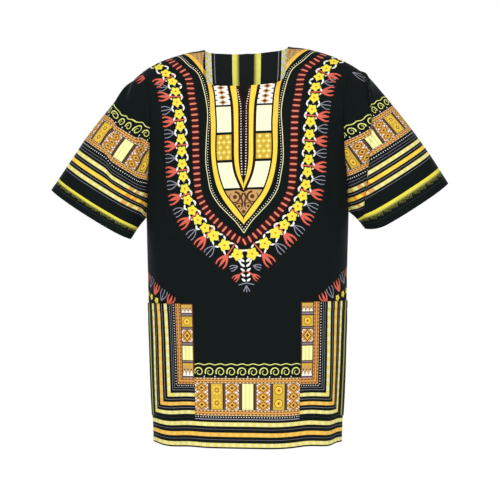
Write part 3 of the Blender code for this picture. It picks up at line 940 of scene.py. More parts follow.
def lozenge_block(art, x0, y0, x1, y1, count=3):
    """A tan block with a chain of lozenges and small pale triangles between them."""
    art.add(box(x0, y0, x1, y1), mixed("tan", "orange", 0.35))
    middle, width, step = (x0 + x1) / 2, (x1 - x0), (y1 - y0) / count
    for k in range(count + 1):
        y = y0 + step * k
        low, high = max(y - step * 0.32, y0), min(y + step * 0.32, y1)
        for side in (-1, 1):
            edge, inner = middle + side * width / 2, middle + side * width * 0.20
            art.add(((edge, low), (edge, high), (inner, y)), "white")
    for centre in centres(x0, y0, x1, y1, count):
        for lean in (-1, 1):
            ends = ((-width * 0.5, -lean * step * 0.5), (width * 0.5, lean * step * 0.5))
            art.put(stroke(ends, 1.5), mixed("brown", "deep", 0.35), centre)
        art.put(diamond(width * 0.42, step * 0.50), mixed("brown", "deep", 0.12), centre)
        art.put(diamond(width * 0.32, step * 0.39), mixed("amber", "gold", 0.5), centre)
        art.put(diamond(width * 0.14, step * 0.18), "brown", centre)


def ring_block(art, x0, y0, x1, y1, count=2):
    """A gold block with a chain of rings."""
    art.add(box(x0, y0, x1, y1), "gold")
    radius = min(x1 - x0, (y1 - y0) / count) * 0.38
    for centre in centres(x0, y0, x1, y1, count):
        for size, ink in ((1.0, "brown"), (0.86, "yellow"), (0.5, "orange"), (0.22, "brown")):
            art.put(disc(radius * size), ink, centre)


def pale_block(art, x0, y0, x1, y1):
    """A pale block with lighter upright lines."""
    art.add(box(x0, y0, x1, y1), "pale")
    width = x1 - x0
    for share in (0.16, 0.5, 0.84):
        x = x0 + width * share
        art.add(box(x - width * 0.07, y0, x + width * 0.07, y1), "cream")


def tooth_block(art, x0, y0, x1, y1):
    """A tan block with two facing rows of triangles."""
    art.add(box(x0, y0, x1, y1), "tan")
    step, middle = (x1 - x0) / 3, (y0 + y1) / 2
    for x in (x0, x0 + step, x0 + step * 2):
        art.add(((x, y0), (x + step, y0), (x + step / 2, middle - 0.6)), "white")
        art.add(((x, y1), (x + step, y1), (x + step / 2, middle + 0.6)), "gold")
        art.put(diamond(step * 0.22, (y1 - y0) * 0.1), "brown", (x + step / 2, middle))


def sun_block(art, x0, y0, x1, y1):
    """A gold block with two eight-rayed suns."""
    art.add(box(x0, y0, x1, y1), "gold")
    radius = min(x1 - x0, (y1 - y0) / 2) * 0.47
    beam = leaf(radius * 0.6, radius * 0.3, radius * 0.4, 3)
    for centre in centres(x0, y0, x1, y1, 2):
        for ray in range(8):
            art.put(beam, "yellow", centre, ray * math.pi / 4)
        art.put(disc(radius * 0.44), mixed("brown", "gold", 0.3), centre)
        art.put(disc(radius * 0.26, 8), "amber", centre)


# The blocks of a row, in their order, with how far each stands in from its bars
BLOCKS = (
    (lozenge_block, 0), (sun_block, 1.5), (lozenge_block, 0), (pale_block, 2),
    (lozenge_block, 0), (ring_block, 1.5), (lozenge_block, 0),
)


def block_row(art, half, low, high, start=0):
    """A row of blocks with dark bars between them."""
    art.add(box(-half, low, half, high), mixed("brown", "black", 0.5))
    count = max(1, int(round(2 * half / BLOCK_PITCH)))
    step = 2 * half / count
    for k in range(count):
        left, right = step * k - half + 2.4, step * (k + 1) - half - 2.4
        for edge in (left - 1.9, right + 1.3):
            art.add(box(edge, low, edge + 0.6, high), mixed("brown", "grey", 0.4))
        block, inset = BLOCKS[(k + start) % len(BLOCKS)]
        block(art, left + inset, low, right - inset, high)


def scroll_row(art, half, low, high):
    """A row of curls on black, under a wavy line."""
    count = max(1, int(round(2 * half / SCROLL_PITCH)))
    step = 2 * half / count
    radius = (high - low) * 0.37
    x = np.linspace(-half, half, count * 8 + 1)
    wave = high - 2.4 - 1.2 * np.cos((x + half) / step * 2 * math.pi)
    art.add(stroke(np.stack((x, wave), 1), 1.7), "pale")
    for k in range(count):
        art.put(curl(radius), "pale", (step * (k + 0.5) - half, low + radius + 0.6))
        art.put(diamond(1.2, 1.9), "white", (step * k - half, low + 1.6))


def curve_of_height(points):
    """The distance across as a function of the height on the cloth."""
    path = Path(points).points
    order = np.argsort(path[:, 1])
    return lambda up: np.interp(up, path[order, 1], path[order, 0])


def between(outer, inner, top, bottom):
    """The right-hand field between two lines of the yoke."""
    up = np.linspace(top, bottom, max(3, int((top - bottom) / 5)))
    right = np.stack((outer(up), up), 1)
    left = np.stack((np.minimum(inner(up), right[:, 0] - 0.3), up), 1)
    return np.concatenate((right, left[::-1]))


def sprig(art, ink, place, angle, size, mirrored=True):
    """Three prongs from one point, the outer two bowed out and then forward. Grey ones are thin."""
    put = art.both if mirrored else art.put
    reach = np.linspace(0, 1, 7)
    for side in (-1, 0, 1):
        bow = side * PRONG_SPREAD * np.sin(math.pi * 0.66 * reach)
        line = np.stack((reach * (1.0 - 0.06 * abs(side)), bow), 1) * size
        if ink == "grey":
            put(stroke(line, 1.7), ink, place, angle)
        elif side:
            put(stroke(line, size * 0.20, True), ink, place, angle)
        else:
            put(leaf(size, size * 0.22), ink, place, angle)


def flower_places(ring):
    """Lengths along the ring, from its tip up: wider apart near the tip."""
    more = np.arange(FLOWER_PLACES[-1] + FLOWER_PITCH, ring.length, FLOWER_PITCH)
    return ring.length - np.concatenate((FLOWER_PLACES, more))


def garland(art):
    """Flowers on a ring with small pale leaves, and a fringe of sprigs outside it."""
    ring = Path(GARLAND)
    lengths = flower_places(ring)
    for k, length in enumerate(lengths):
        place, angle = ring.at(length), ring.angle(length)
        art.both(flower(13.0 if k < 3 else 11.2), "lemon", place, angle)
        art.both(disc(2.2, 6), "deep", place)
        for way in (-1, 1):
            for aside in (-11.5, 11.5):
                spot = ring.at(length + way * 9.0, aside)
                lean = angle + (0.5 if way * aside > 0 else -0.5)
                art.both(leaf(10.0, 3.9, -5.0), "white", spot, lean)
        if length < FRINGE_FROM or k + 1 == len(lengths):
            continue
        middle = (length + lengths[k + 1]) / 2
        between_flowers = ring.at(middle)
        outward = ring.angle(middle) + math.pi / 2
        away = np.array((math.cos(outward), math.sin(outward)))
        if k % 2 == 0:
            stem = np.stack((between_flowers - away * 15, between_flowers + away * 15))
            art.both(stroke(stem, 2.4), "coral")
            sprig(art, "maroon", between_flowers + away * 11.5, outward, 33)
            sprig(art, "coral", between_flowers + away * 13, outward, 28)
        else:
            sprig(art, "grey", between_flowers + away * 14, outward, 25)
            art.both(disc(1.5, 5), "grey", between_flowers)


def tail_spray(art):
    """The hanging spray of leaves under the yoke's point."""
    top = -425
    for k in range(5):
        art.both(leaf(13.0 - 0.8 * k, 4.6), "white", (1.3, top - 9.5 * k), 0.66)
    sprig(art, "grey", (15, top - 8), -0.32, 16)
    art.both(stroke(((2, top - 18), (15, top - 26)), 2.2), "coral")
    sprig(art, "coral", (13, top - 25), -0.72, 16)
    for turn in (-0.5, 0.0, 0.5):
        art.put(stroke(((0, 0), (0, -13)), 1.8), "grey", (0, top - 46), turn)
    art.both(stroke(((0, 0), (15, -3.5)), 1.8), "grey", (0, top - 41))


def bar_ring(art):
    """A dark red ring with coral bars across it."""
    ring = Path(BAR_RING)
    art.both(ring.strip(-7.4, 7.4), "maroon")
    bar = np.array(((-7.7, 0), (-5.0, -1.9), (5.0, -1.9), (7.7, 0), (5.0, 1.9), (-5.0, 1.9)))
    for length in np.arange(ring.length, 0, -BAR_PITCH):
        put = art.put if length == ring.length else art.both
        put(bar, "salmon", ring.at(length), ring.angle(length) + math.pi / 2)


def band_between(outer, inner, outer_aside, inner_aside, steps):
    """A polygon between two lines of different lengths."""
    share = np.linspace(0, 1, steps)
    far, near = outer.at(share * outer.length, outer_aside), inner.at(share * inner.length, inner_aside)
    return np.concatenate((far, near[::-1]))


def yoke_bands(art):
    """The plain lines and the yellow band round the opening."""
    edge = Path(YOKE_EDGE)
    art.both(edge.strip(-0.7, 0.7), mixed("cream", "straw", 0.4))
    for length in np.arange(3, edge.length - 2, DOT_PITCH):
        art.both(disc(1.0, 5), "white", edge.at(length, -3.9))
    outer, inner = Path(BAND_OUTER), Path(BAND_INNER)
    art.both(band_between(outer, inner, -2.0, 1.4, 70), "yellow")
    for end, share in ((230, 0.25), (175, 0.45), (125, 0.65)):
        art.both(outer.strip(-9.0, -2.0, 4, end), mixed("yellow", "amber", share))


def trellis(art, field_left, field_right, top, bottom):
    """Small pale diamonds set close together on gold."""
    for row in range(5):
        up = top - (top - bottom) * (row + 0.5) / 5
        left, right = float(field_left(up)), float(field_right(up))
        count = 2 + row % 2
        for place in range(count):
            share = (place + 0.5) / count
            spot = (left + (right - left) * share, up)
            art.both(diamond(5.0, 5.2), mixed("gold", "lemon", 0.5), spot)
            art.both(diamond(2.1, 2.2), mixed("yellow", "ivory", 0.6), spot)


def lace(art, field_left, field_right, top, bottom):
    """A column of spindles between pale ribs."""
    for k in range(4):
        up = top - (top - bottom) * (k + 0.5) / 4
        left, right = float(field_left(up)), float(field_right(up))
        middle, half = (left + right) / 2, (right - left) / 2
        for side in (-1, 1):
            notch = ((half * side, 1.9), (half * side, -1.9), (half * side * 0.62, 0))
            art.both(notch, mixed("brown", "black", 0.5), (middle, up + 5.4))
        art.both(diamond(half * 0.62, 5.6), "tan", (middle, up))
        art.both(diamond(half * 0.30, 3.2), "brown", (middle, up))


def yoke_block(art, kind, field, left, right, top, bottom):
    """One block of the yoke: its field, and what is drawn on it from its left edge to its right."""
    if kind == "tan":
        art.both(field, "tan")
        for row, up in enumerate(np.arange(top - 6, bottom, -8)):
            for across in np.arange(float(right(up)) - 5.4 - 4 * (row % 2), 60, -8):
                art.both(diamond(2.6, 2.9), "brown", (across, up))
                art.both(diamond(1.1, 1.3), "straw", (across, up))
    elif kind == "cream":
        art.both(field, "ivory")
        up = np.linspace(top - 1, bottom + 1, 9)
        for share in (0.2, 0.5, 0.8):
            across = left(up) + (right(up) - left(up)) * share
            art.both(stroke(np.stack((across, up), 1), 1.1), mixed("ivory", "straw", 0.6))
    elif kind == "lace":
        art.both(field, "white")
        lace(art, left, right, top, bottom)
    else:
        art.both(field, mixed("gold", "brown", 0.12))
        trellis(art, left, right, top, bottom)


def yoke_field(art, slit):
    """The blocks inside the yoke, on each side of the opening."""
    band = curve_of_height(BAND_INNER)
    opening = curve_of_height(SLIT_OUTER) if slit else np.zeros_like

    def right(up):
        return band(up) - 1.6

    def left(up):
        return opening(up) + 4.2

    def field_left(up):
        return opening(up) + (4.2 if slit else 1.6)

    for top, bottom, kind in YOKE_BLOCKS:
        if slit or top < -100:
            field = between(right, field_left, top, bottom)
            yoke_block(art, kind, field, left, right, top, bottom)
    rims = np.linspace(-286, -331, 12)
    tip = np.concatenate((np.stack((right(rims), rims), 1), [(0, -335), (0, -290), (9, -285)]))
    art.both(tip, "tan")
    turns = np.linspace(0.3, 2 * math.pi - 0.5, 15)
    for across, radius, up, width, dot, start in (
        (17.0, 10.2, -299.0, 4.4, 4.2, 1.3), (9.4, 7.0, -317.5, 3.6, 2.8, -1.6),
    ):
        ring = radius * np.stack((np.cos(turns + start), np.sin(turns + start)), 1)
        art.both(stroke(ring, width, True), "brown", (across, up))
        art.both(disc(dot, 9), "brown", (across - 0.6, up + 0.6))
    art.both(stroke(((1.4, -291), (4.6, -300), (2.0, -309), (3.0, -318)), 3.6), "brown")
    art.put(diamond(4.4, 4.6), "brown", (0, -327.5))


def slit_bands(art):
    """The yellow bands and dotted lines down both sides of the neck slit."""
    outer, inner = Path(SLIT_OUTER), Path(SLIT_INNER)
    dark = np.concatenate((outer.at(np.linspace(0, outer.length, 40), 3.4), [(0, -60)]))
    art.both(dark, mixed("maroon", "black", 0.6))
    art.both(band_between(outer, inner, -1.0, 0.8, 50), "yellow")
    art.both(inner.strip(-2.0, -0.6, 0, inner.length - 12), "maroon")
    for up in np.arange(-84, -258, -DOT_PITCH):
        side = float(np.interp(up, (-262, -225, -118, -100, -81), (2.6, 4.4, 5.2, 8.4, 11.2)))
        art.both(disc(1.3, 6), "white", (side, up))


def side_sprays(art):
    """Sprigs and flowers along the slanted line above each pocket."""
    for k, place in enumerate(SIDE_SPRIGS):
        sprig(art, ("coral", "grey")[k % 2], place, 2.05, 25)
    for place in SIDE_FLOWERS:
        art.both(flower(6.8), "lemon", place)
        art.both(disc(1.8, 5), "deep", place)


def hem_stripes(art, half):
    """The stripes along the hem."""
    for low, high, inks, start in HEM_STRIPES:
        two_tone_stripe(art, half, low, high, inks, start)
    for low, high in HEM_LINES:
        art.add(box(-half, low, half, high), mixed("black", "grey", 0.6))


def lower_band(art, half):
    """Scrolls, blocks and lines above the hem."""
    scroll_row(art, half, -650, -622)
    toothed_stripe(art, half, -661, -651)
    block_row(art, half, -712, -662)
    toothed_stripe(art, half, -724, -713)
    art.row_of_dots(half, -727.0)
    art.add(box(-half, -732.3, half, -730.4), "grey")


def front_print():
    """The rings, the yoke round the slit, and the stripes and blocks between the pockets."""
    art = Print()
    bar_ring(art)
    garland(art)
    yoke_field(art, True)
    yoke_bands(art)
    slit_bands(art)
    tail_spray(art)
    side_sprays(art)
    lower_band(art, 109)
    hem_stripes(art, QUARTER * 1000)
    return art


def back_print():
    """The back: upright stripes behind the neck, the same rings, and a band above the hem."""
    art = Print()
    bar_ring(art)
    garland(art)
    art.both(between(curve_of_height(BAND_INNER), np.zeros_like, 60, -337), "black")
    yoke_field(art, False)
    yoke_bands(art)
    art.add(box(-13, -284, 13, -100), "black")
    for up in np.arange(-116, -280, -DOT_PITCH):
        art.both(disc(1.05, 5), "white", (7, up))
    for near in (55, 76.5):
        art.both(box(near, -52, near + 1.6, 60), "grey")
    for near, far, share in ((13, 15, 0.25), (15, 17, 0.55), (17, 19, 0.85), (19, 25, 1.0)):
        art.both(box(near, -112, far, 60), mixed("black", "bright", share))
    art.both(box(61, -76, 72, 60), "snow")
    for top in np.arange(60, -60, -18.0):
        art.both(box(61, top - 8, 66.5, top), "bright")
        art.both(box(66.5, top - 16, 72, top - 8), "bright")
    tail_spray(art)
    lower_band(art, QUARTER * 1000)
    hem_stripes(art, QUARTER * 1000)
    return art


def pocket_print(side):
    """Stripes that turn a corner beside and under a column of blocks."""
    art = Print()
    inner, top = POCKET_INNER_EDGE * 1000, POCKET_TOP * 1000

    def add(points, ink):
        art.add(np.array(points, float) * (side, 1), ink)

    def add_corner(ink, near, far, high, low):
        add(((near, top), (far, top), (far, low), (inner, low), (inner, high), (near, high)), ink)

    for ink, near, far, high, low in POCKET_STRIPES:
        if high is None:
            add(box(near, -731, far, top), ink)
            continue
        add_corner(ink, near, far, high, low)
        if ink in ("straw", "amber"):
            other = mixed(ink, "ivory" if ink == "straw" else "straw", 0.42)
            for up in np.arange(top - 3, low + 16, -16.0):
                add(((near, up), (far, up - 1), (far, up - 8), (near, up - 9)), other)
            for across in np.arange(far - 20, inner + 10, -16.0):
                add(((across, high), (across + 1, low), (across - 8, low), (across - 7, high)), other)
    saw = np.array(((-5.6, 0), (-2.2, 3.6), (2.2, 3.6), (5.6, 0), (2.2, -3.6), (-2.2, -3.6)))
    for up in np.arange(top - 3.6, -655, -TOOTH_PITCH):
        add(saw + (139.7, up), SAW_COLOUR)
    for across in np.arange(139.7, inner, -TOOTH_PITCH):
        add(saw[:, ::-1] + (across, -658), SAW_COLOUR)
    add_corner(CORE_COLOUR, 138.3, 141.1, -656.6, -659.4)
    for up in np.arange(top - 3, -668, -DOT_PITCH):
        art.put(disc(1.1, 5), "white", (side * 149.6, up))
    for across in np.arange(146, inner, -DOT_PITCH):
        art.put(disc(1.1, 5), "white", (side * across, -667.2))
    add(box(inner, -650.5, 133, top), "brown")
    x0, x1 = sorted((side * 109, side * 132))
    for high, low, block, *count in (
        (-507, -523, tooth_block), (-531, -551, ring_block, 1), (-557, -581, lozenge_block, 1),
        (-589, -617, pale_block), (-623, -648, tooth_block),
    ):
        for gap in (high + 2.6, low - 3.6):
            art.add(box(x0, gap, x1, gap + 1.2), "grey")
        block(art, x0, low, x1, high, *count)
    return art


def fading_stripe(art, half, low, high):
    """A yellow stripe with one clean edge and one that frays out into the black."""
    art.add(box(-half, low, half, high), mixed("lime", "yellow", 0.12))
    art.add(box(-half, low + 1.8, half, high), mixed("lemon", "lime", 0.12))
    for row, (reach, share) in enumerate(((2.2, 0.75), (4.0, 0.5), (6.2, 0.28))):
        for k, x in enumerate(np.arange(-half + 0.6 + row * 0.9, half - 1.6, 3.1)):
            end = low - reach * (0.55 + 0.45 * ((k * (7 + row) % 11) / 10))
            start = low - reach * 0.5 if row else low + 0.2
            if end < start - 0.3:
                art.add(box(x, end, x + 1.5, start), mixed("black", "lime", share))


def stretched_up(points):
    """The left sleeve hangs a little fuller, so its print reaches further up."""
    above = np.maximum(points[:, 1] - LEFT_PRINT_FOOT, 0)
    return points + np.stack((np.zeros(len(points)), above * LEFT_PRINT_STRETCH), 1)


def sleeve_print(surface):
    """Stripes, a band of blocks and scrolls round the sleeve."""
    art = Print()
    half = surface.half_round * 1000
    fading_stripe(art, half, 21.4, 27.0)
    for low in SLEEVE_LINES:
        art.add(box(-half, low, half, low + 0.6), "grey")
    for low, high, inks, start, pitch, painted_shade_inks in SLEEVE_STRIPES:
        two_tone_stripe(art, half, low, high, inks, start, pitch)
        # Painted shade: each stripe is darker near the underarm, where the sleeve meets the body
        for near, far in SLEEVE_PAINTED_SHADE:
            for x0, x1 in ((-far, -near), (near, far)):
                art.add(((x0, low), (x1, low), (x1 + 2, high), (x0 + 2, high)), mixed(*painted_shade_inks))
    art.row_of_dots(half, 111.0)
    toothed_stripe(art, half, 116.4, 125)
    block_row(art, half, 126, 166, 6)
    toothed_stripe(art, half, 167, 177)
    scroll_row(art, half, 178.5, 203)
    for way, angle in ((-1, -1.3), (1, -1.85)):
        ink = "coral" if surface.side * way < 0 else "grey"
        sprig(art, ink, (way * 30, 286), angle, 26, False)
    if surface.side < 0:
        art.shapes = [(stretched_up(points), ink) for points, ink in art.shapes]
    return art


def panel_lift(across, up):
    """How far a piece lies above the body's own surface."""
    return np.zeros_like(across)


def pocket_lift(across, up):
    """A pocket lies on the front, and its mouth stands out a little."""
    share = (np.abs(across) - POCKET_INNER_EDGE) / (QUARTER - POCKET_INNER_EDGE)
    down = (POCKET_TOP - up) / (POCKET_TOP - POCKET_BOTTOM)
    mouth = np.maximum(0, 1 - 3 * down) * np.sin(math.pi * np.clip(share, 0, 1))
    turn = HEM_RAISE * eased((POCKET_TURN / 1000 - (POCKET_TOP - up)) / 0.0014)
    return POCKET_GAP + POCKET_MOUTH_STANDS_OUT * mouth + CLOTH + turn


def pocket_outline(side):
    """The pocket's cut: its inner, lower and side edges and its mouth."""
    inner, outer = POCKET_INNER_EDGE * 1000, QUARTER * 1000
    top, bottom = POCKET_TOP * 1000, POCKET_BOTTOM * 1000
    corners = np.array(((inner, top), (inner, bottom), (outer, bottom), (outer, top)))
    edge = finer(corners) * (side, 1)
    return edge if side > 0 else edge[::-1]


def sleeve_outline(surface):
    """The sleeve's cut: its cuff, its seam and the armhole edge between them."""
    half = surface.half_round - 0.0002
    around = np.linspace(-half, half, 131)
    top = surface.top_at(around)
    seam = np.stack((around, top), 1)[::-1]
    cuff = np.stack((around, np.zeros_like(around)), 1)
    rises = [np.linspace(0, end, 50)[1:-1] for end in (top[-1], top[0])]
    right = np.stack((np.full(48, half), rises[0]), 1)
    left = np.stack((np.full(48, -half), rises[1]), 1)[::-1]
    return np.concatenate((cuff, right, seam, left)) * 1000


def sleeve_edges(surface):
    """The edges that get a groove or a stitched turn."""
    outline = sleeve_outline(surface)
    cuff, right, seam, left = outline[:131], outline[130:180], outline[179:310], outline[309:]
    return [(cuff, "hem", CUFF_TURN), (right, "seam", 0), (seam, "seam", 0), (left, "seam", 0)]


def shoulder_flat(surface, around):
    """The flat second number of the shoulder line."""
    return ROLL_OVER + np.interp(around, surface.around, surface.reach)


def armhole_side(surface):
    """Flat points down the right armhole and the side seam, in millimetres."""
    heights = ARMHOLE[0][0] + (ARMPIT - ARMHOLE[0][0]) * (1 - np.cos(np.linspace(0, math.pi, 60))) / 2
    around = around_at(ARMHOLE_OUT(heights), heights)
    flat = surface.flat_height(around, heights)
    flat[0] = shoulder_flat(surface, around[0])
    arm = np.stack((around, flat), 1)
    down = np.linspace(ARMPIT, HEM, 90)[1:]
    side = np.stack((np.full(len(down), QUARTER), down), 1)
    return np.concatenate((arm, side)) * 1000


def along_shoulder(surface, start, end):
    """Flat points along the shoulder line, in millimetres."""
    around = np.linspace(start, end, 22)
    return np.stack((around, shoulder_flat(surface, around)), 1) * 1000


def half_neckline(face):
    """(out, height) down the right half of the neckline, from the shoulder to the centre."""
    if face == "back":
        out = NECK_HALF_WIDTH * np.cos(np.linspace(0, math.pi / 2, 26)) ** 0.8
        share = np.maximum(0.0, 1 - (out / NECK_HALF_WIDTH) ** 2)
        return np.stack((out, SHOULDER_AT["height"](out) - BACK_NECK_DROP * share**0.75), 1)
    corner = Path(np.array(NECKLINE) * 1000, 8)
    pitch = np.linspace(0, corner.length, 34)
    edge = corner.at(pitch) / 1000
    slit = np.linspace(-FRONT_NECK_DROP, -FRONT_NECK_DROP - SLIT_LENGTH, 26)
    open_share = np.maximum(0, 1 - (-FRONT_NECK_DROP - slit) / SLIT_OPEN_LENGTH)
    half = SLIT_CLOSED_HALF_WIDTH + SLIT_HALF_WIDTH * open_share
    half[-1] = 0
    return np.concatenate((edge, np.stack((half, slit), 1)[1:]))


def panel_edges(neck, shoulder, side):
    """The edges that get a groove or a stitched turn, on both sides of the centre line."""
    hem = np.array(((QUARTER, HEM), (0, HEM))) * 1000
    rows = [(neck, "hem", NECK_TURN), (shoulder, "seam", 0), (side, "seam", 0), (hem, "hem", HEM_TURN)]
    return rows + [(line * (-1, 1), kind, width) for line, kind, width in rows]


def panel_outline(surface):
    """The whole cut of the front or back, as one polygon."""
    neck = half_neckline(surface.face)
    around = around_at(neck[:, 0], neck[:, 1])
    flat = surface.flat_height(around, neck[:, 1])
    neck = np.stack((around, flat), 1) * 1000
    neck[0, 1] = shoulder_flat(surface, around[0]) * 1000
    side = armhole_side(surface)
    shoulder = along_shoulder(surface, around[0], side[0, 0] / 1000)[1:-1]
    hem = np.stack((np.linspace(QUARTER, 0, 50)[1:] * 1000, np.full(49, HEM * 1000)), 1)
    surface.edges = panel_edges(neck, shoulder, side)
    right = np.concatenate((neck[::-1], shoulder, side, hem))
    left = right[-2::-1] * (-1, 1)
    if abs(right[0, 0]) < 1e-6:
        left = left[:-1]
    return np.concatenate((right, left))


def signed_area(shape):
    """The area inside a closed line, below 0 if it runs clockwise."""
    x, y = shape[:, 0], shape[:, 1]
    return (np.dot(x, np.roll(y, -1)) - np.dot(y, np.roll(x, -1))) / 2


def thread_points(surface, lift, line):
    """The stitches along a flat line, as (start, middle, end, outward) in space."""
    path = Path(line, 3)
    starts = np.arange(STITCH_PITCH / 2, path.length - STITCH_LENGTH, STITCH_PITCH)
    rows = []
    for share, rise in ((0.0, -0.0002), (0.5, 0.00022), (1.0, -0.0002), (1.0, 0.001)):
        across, up = path.at(starts + STITCH_LENGTH * share).T / 1000
        rows.append(surface.place(across, up, lift(across, up) + rise))
    outward = rows.pop() - rows[-1]
    return rows + [outward / np.linalg.norm(outward, axis=1, keepdims=True)]


def new_thing(name, data):
    """An object of a mesh, lamp or camera, in the scene."""
    thing = bpy.data.objects.new(name, data)
    bpy.context.scene.collection.objects.link(thing)
    return thing


def make_threads(name, rows, thread):
    """One object of many small stitches. Each row is (surface, lift, flat line)."""
    points, faces = [], []
    for row in rows:
        start, middle, end, outward = thread_points(*row)
        way = end - start
        way /= np.maximum(np.linalg.norm(way, axis=1, keepdims=True), 1e-9)
        side = np.cross(way, outward)
        for k in range(len(start)):
            first = len(points)
            points.append(start[k])
            for share in (0.25, 0.75):
                centre = middle[k] + (end[k] - start[k]) * (share - 0.5)
                for outwards in (side[k], outward[k], -side[k], -outward[k]):
                    points.append(centre + outwards * THREAD_RADIUS)
            points.append(end[k])
            for turn in range(4):
                a, b = first + 1 + turn, first + 1 + (turn + 1) % 4
                faces += [(first, b, a), (a, b, b + 4, a + 4), (first + 9, a + 4, b + 4)]
    mesh = bpy.data.meshes.new(name)
    mesh.from_pydata([tuple(p) for p in points], [], faces)
    mesh.shade_smooth()
    mesh.materials.append(thread)
    thing = new_thing(name, mesh)
    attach(thing, "root")
    return thing


def moved_in(line, distance):
    """The same flat line, moved to its left."""
    path = Path(line, 3)
    return path.at(np.linspace(0, path.length, max(8, int(path.length / 6))), distance)


def inside(outline, points):
    """Whether each point lies inside the outline."""
    x, y = points[:, 0], points[:, 1]
    result = np.zeros(len(points), bool)
    for (x0, y0), (x1, y1) in zip(outline, np.roll(outline, -1, axis=0)):
        if y0 == y1:
            continue
        crossed = (y0 > y) != (y1 > y)
        result ^= crossed & (x < x0 + (y - y0) * (x1 - x0) / (y1 - y0))
    return result


def cut_cloth(outline, art):
    """The flat cloth's points, its triangles and each triangle's ink."""
    low, high = outline.min(axis=0), outline.max(axis=0)
    points, faces = [], []
    for shape in [outline] + [shape for shape, _ in art.shapes]:
        if signed_area(shape) < 0:
            shape = shape[::-1]
        faces.append(list(range(len(points), len(points) + len(shape))))
        points.extend(shape)
    rows = np.arange(low[1] + GRID_PITCH / 2, high[1], GRID_PITCH * 0.87)
    for k, y in enumerate(rows):
        x = np.arange(low[0] + (k % 2) * GRID_PITCH / 2, high[0], GRID_PITCH)
        spots = np.stack((x, np.full_like(x, y)), 1)
        points.extend(spots[inside(outline, spots)])
    flat, _, triangles, _, _, origins = delaunay_2d_cdt([Vector(p) for p in points], [], faces, 0, 1e-4, True)
    kept, inks = [], []
    for corners, origin in zip(triangles, origins):
        if 0 in origin:
            top = max(origin)
            kept.append(corners)
            inks.append(art.shapes[top - 1][1] if top else INK["black"])
    flat = np.array([(p.x, p.y) for p in flat])
    used, kept = np.unique(np.array(kept), return_inverse=True)
    return flat[used], kept.reshape(-1, 3), np.array(inks)


def make_piece(name, surface, outline, art, lift=panel_lift, facing=1):
    """A closed piece of cloth: its outer face, the same print inside painted lighter as painted light, and
    its rim.
    """
    flat, triangles, inks = cut_cloth(outline, art)
    across, up = flat.T / 1000
    outer = surface.place(across, up, lift(across, up))
    inner = surface.place(across, up, lift(across, up) - CLOTH)
    edges = np.concatenate([triangles[:, (k, (k + 1) % 3)] for k in range(3)])
    owners = np.tile(np.arange(len(triangles)), 3)
    keys = np.sort(edges, axis=1)
    _, first, count = np.unique(keys, axis=0, return_index=True, return_counts=True)
    single = first[count == 1]
    (a, b), rim_ink, total = edges[single].T, inks[owners[single]] * RIM_DYE, len(flat)
    rim = np.stack((b, a, a + total), 1), np.stack((b, a + total, b + total), 1)
    faces = np.concatenate((triangles, triangles[:, ::-1] + total, *rim))
    # Painted light: the inside face's inks are brightened and lifted, so the shaded inside of the shirt reads
    # lighter
    inside_inks_painted_lighter = np.minimum(inks * INSIDE_PAINTED_LIGHT + INSIDE_PAINTED_LIFT, 0.97)
    colours = np.concatenate((inks * OUTSIDE_DYE, inside_inks_painted_lighter, rim_ink, rim_ink))
    if facing < 0:
        faces = faces[:, ::-1]
    mesh = bpy.data.meshes.new(name)
    mesh.from_pydata(np.concatenate((outer, inner)).tolist(), [], faces.tolist())
    ink = mesh.color_attributes.new("ink", "FLOAT_COLOR", "CORNER")
    corner_ink = np.ones((len(faces) * 3, 4), np.float32)
    corner_ink[:, :3] = np.repeat(colours, 3, axis=0)
    ink.data.foreach_set("color", corner_ink.ravel())
    layer = mesh.uv_layers.new(name="cloth")
    both = np.concatenate((flat, flat)) / 1000
    layer.uv.foreach_set("vector", both[faces.ravel()].astype(np.float32).ravel())
    mesh.shade_smooth()
    mesh.set_sharp_from_angle(angle=math.radians(55))
    return new_thing(name, mesh)


def new_material(name):
    """A material's node tree and its shader."""
    material = bpy.data.materials.new(name)
    material.use_nodes = True
    return material, material.node_tree, material.node_tree.nodes["Principled BSDF"]


def set_inputs(tree, node, inputs):
    """Each input takes a value or another node's output."""
    for name, value in inputs.items():
        if isinstance(value, bpy.types.NodeSocket):
            tree.links.new(value, node.inputs[name])
        else:
            node.inputs[name].default_value = value


def add_node(tree, kind, inputs, **settings):
    """A new node with its inputs and its own settings."""
    node = tree.nodes.new("ShaderNode" + kind)
    for name, value in settings.items():
        setattr(node, name, value)
    set_inputs(tree, node, inputs)
    return node


def cotton(name):
    """Printed cotton: the ink on the corners, mottled a little, with weave and slub as bump."""
    material, tree, shader = new_material(name)
    ink = add_node(tree, "Attribute", {}, attribute_name="ink").outputs["Color"]
    flat = add_node(tree, "UVMap", {}, uv_map="cloth").outputs["UV"]
    mottle = add_node(tree, "TexNoise", {"Scale": 60.0, "Detail": 4.0, "Vector": flat}).outputs["Fac"]
    strength = add_node(tree, "MapRange", {"To Min": 0.86, "To Max": 1.12, "Value": mottle}).outputs["Result"]
    dyed = add_node(tree, "VectorMath", {}, operation="SCALE")
    set_inputs(tree, dyed, {0: ink, "Scale": strength})
    warp, weft = (
        add_node(
            tree, "TexWave", {"Scale": 560.0, "Distortion": 0.6, "Detail": 1.0, "Vector": flat},
            bands_direction=direction,
        ).outputs["Fac"]
        for direction in ("X", "Y")
    )
    threads = add_node(tree, "Math", {0: warp, 1: weft}, operation="MULTIPLY").outputs["Value"]
    weave = add_node(tree, "Bump", {"Strength": 0.35, "Distance": 0.00012, "Height": threads})
    slub = add_node(tree, "TexNoise", {"Scale": 95.0, "Detail": 3.0, "Vector": flat}).outputs["Fac"]
    pucker = add_node(tree, "Bump", {
        "Strength": 0.35, "Distance": 0.0012, "Height": slub, "Normal": weave.outputs["Normal"],
    })
    set_inputs(tree, shader, {
        "Roughness": 0.78, "Specular IOR Level": 0.03, "Sheen Weight": 0.01, "Sheen Roughness": 0.45,
        "Base Color": dyed.outputs["Vector"], "Normal": pucker.outputs["Normal"],
    })
    return material


